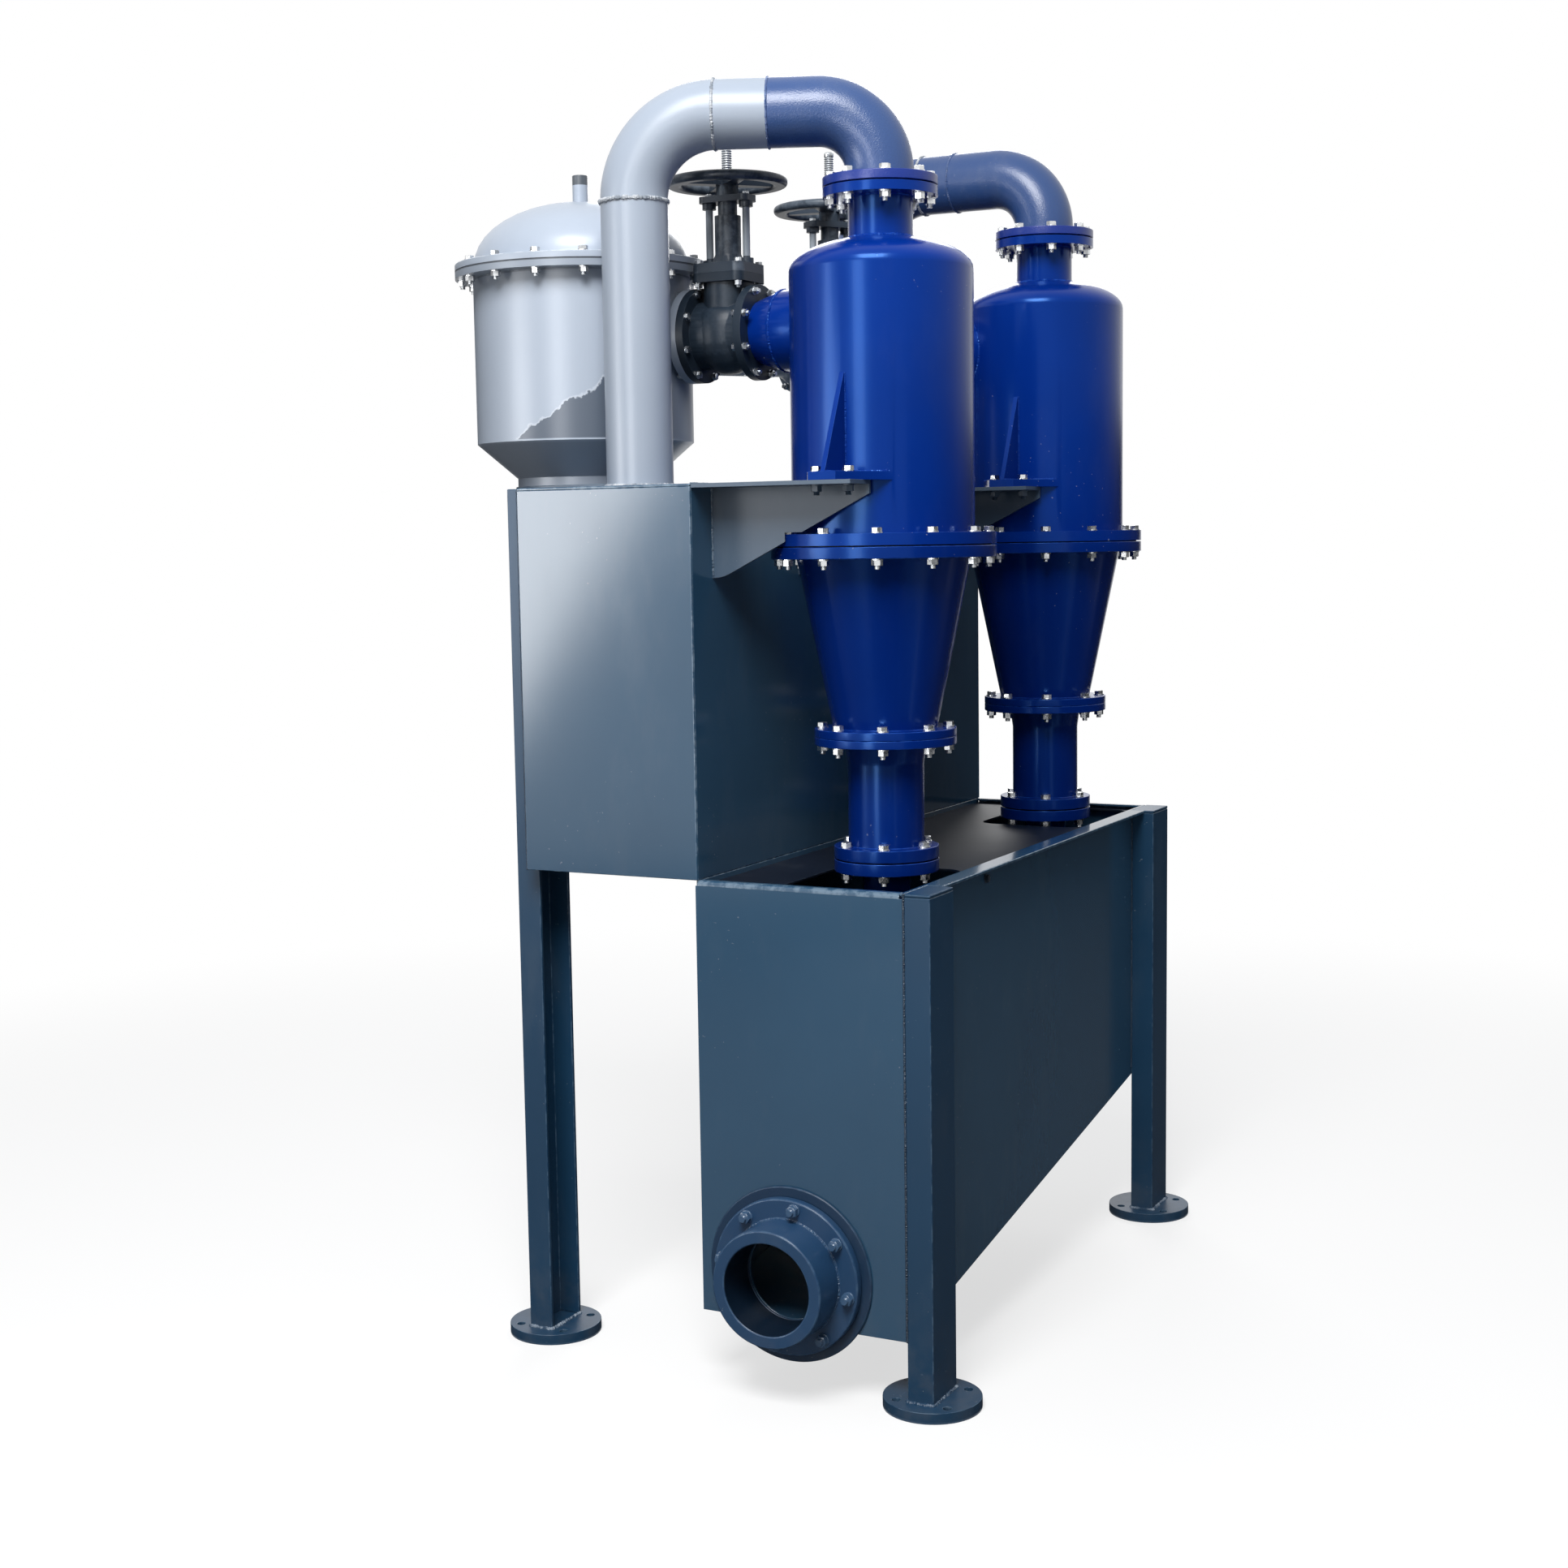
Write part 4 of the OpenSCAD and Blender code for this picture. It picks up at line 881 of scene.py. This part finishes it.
for side in ("front_", "rear_"):
    axis = middle(side + "spigot")
    head, cone, spigot, apex = [side + part for part in ("cyclone_head", "cyclone_cone", "spigot", "apex")]
    bolt_up(side + "main", axis, head, cone, rim_radius(cone), MAIN_BOLTS, MAIN_FIRST)
    bolt_up(side + "cone", axis, cone, spigot, rim_radius(spigot), CONE_BOLTS, CONE_FIRST)
    bolt_up(side + "apex", axis, spigot, apex, rim_radius(apex), APEX_BOLTS, APEX_FIRST)
    bolt_up(side + "top", axis, side + "overflow_elbow", head, TOP_RIM, TOP_BOLTS, TOP_FIRST)
bolt_up("lid", middle("vessel_shell"), "vessel_lid", "vessel_shell", rim_radius("vessel_lid"), LID_BOLTS, LID_FIRST,
    LID_SIZE)
print("flange bolts:", 2 * (MAIN_BOLTS + CONE_BOLTS + APEX_BOLTS + TOP_BOLTS) + LID_BOLTS)

# %% [markdown]
# ## Lug bolts
# Each cyclone stands by its lugs on two bracket arms, with two bolts through each. A circle is no use here, so the four
# places are counted from the cyclone's axis. The heads are bright, and the nuts under the arms were sprayed with them.

# %% Bolt the lugs to the bracket arms
LUG_BOLT_OUT = 291 * MM
LUG_BOLT_SIDE = 42 * MM
LUG_THICK = 20 * MM
ARM_THICK = 10 * MM
arm_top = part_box("bracket_arms")[1].z
lug_bolts = [Vector((axis.x + across, axis.y + out, arm_top))
    for axis in (middle("front_spigot"), middle("rear_spigot"))
    for across in (-LUG_BOLT_SIDE, LUG_BOLT_SIDE) for out in (-LUG_BOLT_OUT, LUG_BOLT_OUT)]
scatter("lug_bolt_heads", bolt_head, [stand(p + LUG_THICK * UP, UP, any_turn()) for p in lug_bolts], zinc)
scatter("lug_bolt_nuts", nut_end, [stand(p - ARM_THICK * UP, DOWN, any_turn()) for p in lug_bolts],
    finishes["bracket_paint"])
print("lug bolts:", len(lug_bolts))

# %% [markdown]
# ## Valve and spout bolts
# The valves have smaller bolts on both of their flanges, four at the corners of the square bonnet and one on each end
# of the crosshead. They could be modelled anew, but the same head and nut at a smaller size look right. The spout's
# nuts were sprayed over with the tank in a lighter slate, and their edges carry rubbed wear and a painted highlight.
# One small dark bolt head stands out of the side plate, just under the rim.

# %% Bolt the valves
VALVE_BOLTS, VALVE_FIRST = 8, 22.5
VALVE_SIZE = 0.7
VALVE_CIRCLE = 111 * MM
VALVE_FLANGE = 22 * MM
BONNET_OUT = 58 * MM
BONNET_THICK = 24 * MM
PILLAR_OUT = 54 * MM
CROSSHEAD_RISE = 352 * MM
valve_low, valve_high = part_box("front_valve_body")
valve_half = (valve_high.x - valve_low.x) / 2
feed_height = valve_low.z + rim_radius("front_valve_body")
bonnet_joint = valve_high.z


def bolt_valve(side, flow):
    """All bolts of one valve, whose flow runs level from the vessel to the cyclone."""
    x, y = middle(side + "valve_stem")
    centre = Vector((x, y, feed_height))
    across = UP.cross(flow)
    heads, nuts = [], []
    for way in (-1, 1):
        outer = valve_half + (VALVE_FLANGE if way < 0 else 0)
        inner = valve_half - VALVE_FLANGE
        for p in circle(centre, flow, VALVE_CIRCLE, VALVE_BOLTS, VALVE_FIRST):
            nuts.append(stand(p + way * outer * flow, way * flow, any_turn(), VALVE_SIZE))
            heads.append(stand(p + way * inner * flow, -way * flow, any_turn(), VALVE_SIZE))
    for a in (-BONNET_OUT, BONNET_OUT):
        for b in (-BONNET_OUT, BONNET_OUT):
            corner = Vector((x, y, bonnet_joint)) + a * flow + b * across
            heads.append(stand(corner + BONNET_THICK * UP, UP, any_turn(), VALVE_SIZE))
            nuts.append(stand(corner - BONNET_THICK * UP, DOWN, any_turn(), VALVE_SIZE))
    for a in (-PILLAR_OUT, PILLAR_OUT):
        heads.append(stand(centre + a * flow + CROSSHEAD_RISE * UP, UP, any_turn(), VALVE_SIZE))
    scatter(side + "valve_heads", bolt_head, heads, finishes["stem_steel"])
    scatter(side + "valve_nuts", nut_end, nuts, finishes["stem_steel"])


rear_flow = (middle("rear_valve_stem") - middle("vessel_shell")).normalized().to_3d()
flows = {"front_": Vector((1, 0, 0)), "rear_": rear_flow}
for side, flow in flows.items():
    bolt_valve(side, flow)
print("valves bolted, feed lines at", round(feed_height, 3), "m")

# %% Bolt the spout
SPOUT_CIRCLE = 175 * MM
SPOUT_FLANGE = 26 * MM
SPOUT_BOLTS, SPOUT_FIRST = 8, -9
SPOUT_SIZE = 1.1
SIDE_BOLT_SIZE = 0.75
SIDE_BOLT_BACK = 520 * MM
SIDE_BOLT_DROP = 30 * MM
wall_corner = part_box("lower_front_wall")[0]
spout_low, spout_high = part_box("outlet_spout")
OUT = Vector((0, -1, 0))
spout_middle = (spout_low + spout_high) / 2
spout_face = Vector((spout_middle.x, spout_high.y - SPOUT_FLANGE, spout_middle.z))
# Lighter slate nuts: their pale edge colour is rubbed wear and a painted highlight.
painted_nut = sprayed("painted_nut", colour(66, 94, 124), colour(50, 78, 108), colour(150, 170, 190), 0.2, 0.1,
    dust=0.1)
spout_bolts = circle(spout_face, OUT, SPOUT_CIRCLE, SPOUT_BOLTS, SPOUT_FIRST)
scatter("spout_bolts", nut_end, [stand(p, OUT, any_turn(), SPOUT_SIZE) for p in spout_bolts], painted_nut)
side_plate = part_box("lower_right_wall")[1]
side_bolt = Vector((side_plate.x, wall_corner.y + SIDE_BOLT_BACK, side_plate.z - SIDE_BOLT_DROP))
scatter("side_bolt", bolt_head, [stand(side_bolt, (1, 0, 0), any_turn(), SIDE_BOLT_SIZE)], finishes["valve_iron"])
print("spout bolts:", len(spout_bolts), "and one side bolt")

# %% [markdown]
# ## Rising stems
# A gate valve of this kind has a stem that rises through the handwheel, and its upper end is threaded. The CAD stem is
# a plain rod, so it is replaced. A true thread could be made by spinning a profile up the rod, but rings look the same
# from any distance and join up cleanly, so it gets the same stepped extrusion as the nuts, only longer.

# %% Turn the stems
STEM_PLAIN = 0.45
STEM_PITCH = 6 * MM
STEM_WAIST = 0.88
STEM_TIP = 12 * MM
TIP_CHAMFER = 3 * MM
TIP_SHARE = 0.8


def turn_stem(side):
    """A rod in the place of the CAD stem, plain below and grooved above, with a chamfered tip."""
    node = side + "valve_stem"
    low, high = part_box(node)
    radius = (high.x - low.x) / 2
    plain = STEM_PLAIN * (high.z - low.z)
    turns = int((high.z - low.z - plain - STEM_TIP) / STEM_PITCH)
    piece = prism(radius, low.z, plain, 20, 0.01 * MM)
    grooves(turns, STEM_PITCH / 2, STEM_WAIST)
    top = max(v.co.z for v in bmesh.from_edit_mesh(piece.data).verts)
    bpy.ops.mesh.extrude_region_move(TRANSFORM_OT_translate={"value": (0, 0, high.z - top - TIP_CHAMFER)})
    bpy.ops.mesh.extrude_region_move(TRANSFORM_OT_translate={"value": (0, 0, TIP_CHAMFER)})
    bpy.ops.transform.resize(value=(TIP_SHARE, TIP_SHARE, 1), center_override=(0, 0, 0))
    bpy.ops.mesh.select_all(action="SELECT")
    x, y = middle(node)
    bpy.ops.transform.translate(value=(x, y, 0))
    put_down()
    take(piece)
    piece.name = side + "threaded_stem"
    bpy.ops.object.shade_smooth_by_angle(angle=math.radians(30))
    piece.data.materials.append(finishes["stem_steel"].material)
    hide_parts(node)
    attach(piece, BODY_OF[node])
    return turns


print("stem grooves:", [turn_stem(side) for side in flows])

# %% [markdown]
# ## Weld beads
# The plates, pipes and lugs are welded, and the beads were sprayed over with the paint. A hand-laid bead is a row of
# overlapping ripples of uneven size. One ripple is a squashed ball with few faces, and a seam is a row of them with a
# little chance in size and place. Seams follow edges that are measured on the frame.

# %% Model one ripple and lay a seam
RIPPLE_STEP = 0.8
RIPPLE_SHAKE = 0.12
# How much of the edges' rubbed wear and painted highlight the beads take.
BEAD_WEAR_AND_HIGHLIGHT = 0.8


def ripple_ball():
    """A low ball, flattened along the seam, of radius 1."""
    put_down()
    bpy.ops.mesh.primitive_uv_sphere_add(segments=7, ring_count=5, radius=1, location=(0, 0, 0))
    piece = bpy.context.object
    bpy.ops.object.mode_set(mode="EDIT")
    bpy.ops.mesh.select_all(action="SELECT")
    bpy.ops.transform.resize(value=(1, 1, 0.85), center_override=(0, 0, 0))
    put_down()
    return piece


ripple = ripple_ball()


def bead(path, size, closed=False):
    """Places of ripples of a size along a path of points."""
    points = [Vector(p) for p in path] + ([Vector(path[0])] if closed else [])
    places = []
    for start, end in zip(points, points[1:]):
        along = end - start
        steps = max(1, round(along.length / (RIPPLE_STEP * size)))
        for n in range(steps):
            shake = Vector([chance.uniform(-RIPPLE_SHAKE, RIPPLE_SHAKE) * size for _ in range(3)])
            here = start + along * ((n + chance.uniform(0.2, 0.8)) / steps) + shake
            places.append(stand(here, along, chance.uniform(0, 6.28), size * chance.uniform(0.8, 1.15)))
    return places


def weld(name, slot, places, finish=None):
    """One piece of painted ripples, marked all over as edges, so they take rubbed wear and a painted highlight."""
    piece = scatter(name, ripple, places, finish or finishes[slot])
    marks = piece.data.attributes.new("edge", "FLOAT", "CORNER")
    marks.data.foreach_set("value", np.full(len(piece.data.loops), BEAD_WEAR_AND_HIGHLIGHT, np.float32))
    take(piece)
    bpy.ops.object.shade_smooth()
    return piece


print("ripple", len(ripple.data.polygons), "faces")

# %% [markdown]
# ## Seams of the tanks and feet
# The plates of both tanks are welded to the legs by thin beads, which are painted dark as painted shade in the joint,
# and the legs stand in a heavy bead on their foot plates, where the paint has come off in pale flecks.

# %% Weld the frame and the tanks
SEAM_TRIM = 10 * MM
FOOT_TRIM = 50 * MM
PLATE_HALF = 3 * MM
FINE = 3.2 * MM
MEDIUM = 4.2 * MM
HEAVY = 6 * MM
front_leg_low, front_leg_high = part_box("front_right_leg")
rear_leg_low, rear_leg_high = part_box("rear_right_leg")
wall_low, wall_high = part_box("lower_front_wall")
upper_low, upper_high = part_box("upper_front_wall")
tank_seams = []
for x, y, low, high in (
        (front_leg_low.x, front_leg_low.y, wall_low.z, wall_high.z),
        (front_leg_low.x, front_leg_high.y, wall_low.z + FOOT_TRIM, wall_high.z - SEAM_TRIM),
        (rear_leg_low.x, rear_leg_low.y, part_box("lower_rear_wall")[0].z, wall_high.z - SEAM_TRIM),
        (rear_leg_low.x, rear_leg_high.y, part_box("lower_rear_wall")[0].z, wall_high.z - SEAM_TRIM),
        (upper_low.x, upper_low.y + PLATE_HALF, upper_low.z, upper_high.z),
        (upper_low.x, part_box("upper_rear_wall")[1].y - PLATE_HALF, upper_low.z, upper_high.z)):
    tank_seams += bead([(x, y, low), (x, y, high)], FINE)
# Dark beads along the plate joints: painted shade in the joint.
dark_bead = sprayed("dark_bead", colour(20, 42, 62), colour(13, 30, 46), colour(44, 70, 94), 0.4, 0.2, dust=0.05)
weld("tank_welds", "tank_paint", tank_seams, dark_bead)

foot_seams = []
for node in ("front_right_leg", "rear_right_leg", "front_left_leg", "rear_left_leg"):
    low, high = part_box(node)
    corners = [(low.x, low.y), (high.x, low.y), (high.x, high.y), (low.x, high.y)]
    foot_seams += bead([(x, y, low.z) for x, y in corners], HEAVY, closed=True)
flecked_bead = sprayed("flecked_bead", colour(34, 66, 94), colour(24, 55, 81), colour(190, 203, 216), 0.3, 0.2,
    dust=0.1)
weld("foot_welds", "frame_paint", foot_seams, flecked_bead)
print("tank ripples", len(tank_seams), "foot ripples", len(foot_seams))

# %% [markdown]
# ## Seams of the brackets
# The bracket arms are welded to the tank's side plate, and each lug with its upright gusset to the cyclone's shell. The
# seams follow the shell's round and the edges of the plates.

# %% Weld the bracket arms and the lugs
CYLINDER = 228 * MM
ARM_ROOT = 231 * MM
ARM_GAP = 5 * MM
GUSSET_HIGH = 235 * MM
GUSSET_HALF = 6 * MM
ARM_WIDE = 116 * MM
LUG_DEEP = 110 * MM
LUG_TURN = 0.5
tank_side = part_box("upper_right_wall")[1].x
arm_seams, lug_seams = [], []
for side in ("front_", "rear_"):
    axis = middle(side + "spigot")
    for way in (-1, 1):
        near = axis.y + way * (CYLINDER + ARM_GAP)
        for y in (near, near + way * ARM_THICK):
            arm_seams += bead([(tank_side, y, arm_top - ARM_ROOT), (tank_side, y, arm_top - ARM_THICK)], MEDIUM)
        arm_seams += bead([(tank_side, near, arm_top), (tank_side, near + way * ARM_WIDE, arm_top)], FINE)
        for x in (axis.x - GUSSET_HALF, axis.x + GUSSET_HALF):
            y = axis.y + way * CYLINDER
            low = arm_top + LUG_THICK
            lug_seams += bead([(x, y + way * LUG_DEEP, low), (x, y, low), (x, y, low + GUSSET_HIGH)], FINE)
        arc = [axis.to_3d() + Vector((CYLINDER * math.sin(a), way * CYLINDER * math.cos(a), arm_top + LUG_THICK))
            for a in np.linspace(-LUG_TURN, LUG_TURN, 13)]
        lug_seams += bead(arc, MEDIUM)
weld("arm_welds", "bracket_paint", arm_seams)
weld("lug_welds", "cyclone_paint", lug_seams)
print("arm ripples", len(arm_seams), "lug ripples", len(lug_seams))

# %% [markdown]
# ## Seams of the goosenecks
# Each gooseneck is built of two bends and straight lengths, and a ring of weld shows at every joint. Those on the
# risers are rubbed pale and flecked, and the rest took the paint of the pipe.

# %% Weld the pipes
PIPE = 84 * MM
BEND_TANK = 205 * MM
BEND_CYCLONE = 152 * MM
BLUE_LEVEL = 120 * MM
NECK = 80 * MM
NECK_LONG = 121 * MM
ROUND = 40


def pipe_ring(centre, axis, radius, size):
    return bead(circle(centre, axis, radius, ROUND), size, closed=True)


def riser_axis(node):
    """The middle of a riser's foot."""
    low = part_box(node)[0].z
    foot = [v.co for v in frame["nodes"][node].data.vertices if v.co.z < low + MM]
    return sum(foot, Vector()) / len(foot)


grey_seams, blue_seams, neck_seams = [], [], []
for side in ("front_", "rear_"):
    foot = riser_axis(side + "overflow_riser")
    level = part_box(side + "overflow_riser")[1].z - PIPE
    axis = middle(side + "spigot")
    run = (foot.xy - axis).normalized().to_3d()
    grey_seams += pipe_ring(foot, UP, PIPE, HEAVY)
    grey_seams += pipe_ring((foot.x, foot.y, level - BEND_TANK), UP, PIPE, HEAVY)
    bend_end = Vector((foot.x, foot.y, level)) - BEND_TANK * run
    grey_seams += pipe_ring(bend_end, run, PIPE, MEDIUM)
    joint = Vector((axis.x, axis.y, level)) + (BEND_CYCLONE + BLUE_LEVEL) * run
    blue_seams += pipe_ring(joint, run, PIPE, FINE)
    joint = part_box(side + "cyclone_head")[1].z
    flange_top = rim_heights(side + "overflow_elbow", axis, TOP_RIM, joint)[1]
    blue_seams += pipe_ring((axis.x, axis.y, flange_top), UP, PIPE, MEDIUM)
    neck_top = rim_heights(side + "cyclone_head", axis, TOP_RIM, joint)[0]
    neck_low = joint - NECK_LONG
    neck_seams += pipe_ring((axis.x, axis.y, neck_top), UP, NECK, FINE)
    neck_seams += pipe_ring((axis.x, axis.y, neck_low), UP, NECK, MEDIUM)
pale_bead = sprayed("pale_bead", colour(132, 140, 150), colour(104, 112, 122), colour(238, 240, 242), 0.4, 0.3,
    dust=0.3)
weld("riser_welds", "pipe_paint", grey_seams, pale_bead)
weld("elbow_welds", "elbow_paint", blue_seams)
weld("neck_welds", "cyclone_paint", neck_seams)
print("pipe ripples", len(grey_seams) + len(blue_seams) + len(neck_seams))

# %% [markdown]
# ## Seams of the feed lines
# A feed pipe meets the round vessel and the round cyclone in a saddle-shaped curve. It could be drawn on the surface by
# hand, but two crossed cylinders give it exactly: at each point round the pipe, the depth follows from the shell's
# radius.

# %% Weld the feed lines, the vessel and the spout
STUB = 147 * MM
VESSEL = 290 * MM
FEED = 80 * MM
INLET = 104 * MM
INLET_TAPER = 70 * MM


def saddle(axis, flow, shell, pipe, offset, way):
    """The curve where a level pipe runs into an upright shell, beside its axis by an offset."""
    across = UP.cross(flow)
    points = []
    for n in range(ROUND):
        a = 2 * math.pi * n / ROUND
        aside = offset + pipe * math.cos(a)
        deep = way * math.sqrt(shell * shell - aside * aside)
        points.append(Vector((axis.x, axis.y, feed_height)) + aside * across + deep * flow + pipe * math.sin(a) * UP)
    return points


inlet_seams, feed_seams = [], []
for side, flow in flows.items():
    across = UP.cross(flow).xy
    valve = middle(side + "valve_stem")
    cyclone = middle(side + "spigot")
    vessel = middle("vessel_shell")
    into_cyclone = saddle(cyclone, flow, CYLINDER, INLET, (valve - cyclone).dot(across), -1)
    out_of_vessel = saddle(vessel, flow, VESSEL, FEED, (valve - vessel).dot(across), 1)
    inlet_seams += bead(into_cyclone, MEDIUM, closed=True)
    feed_seams += bead(out_of_vessel, MEDIUM, closed=True)
    taper_end = valve.to_3d() + feed_height * UP + (valve_half + INLET_TAPER) * flow
    inlet_seams += pipe_ring(taper_end, flow, INLET, FINE)
weld("inlet_welds", "cyclone_paint", inlet_seams)
weld("feed_welds", "pipe_paint", feed_seams)
spout_seams = pipe_ring(spout_face, OUT, STUB, MEDIUM)
weld("spout_welds", "outlet_paint", spout_seams)
print("feed and spout ripples", len(inlet_seams) + len(feed_seams) + len(spout_seams))

# %% [markdown]
# ## Clearing up
# The one bolt head, nut and ripple that were copied belong to no place on the machine, so they are deleted. Then the
# box of what is shown now is printed.

# %% Put the patterns away
put_down()
for pattern in (bolt_head, nut_end, ripple):
    pattern.select_set(True)
bpy.ops.object.delete()
print("patterns removed")

# %% Print the size of what is shown
low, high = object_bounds()
print("shown box:", [round(v, 3) for v in high - low], "m")
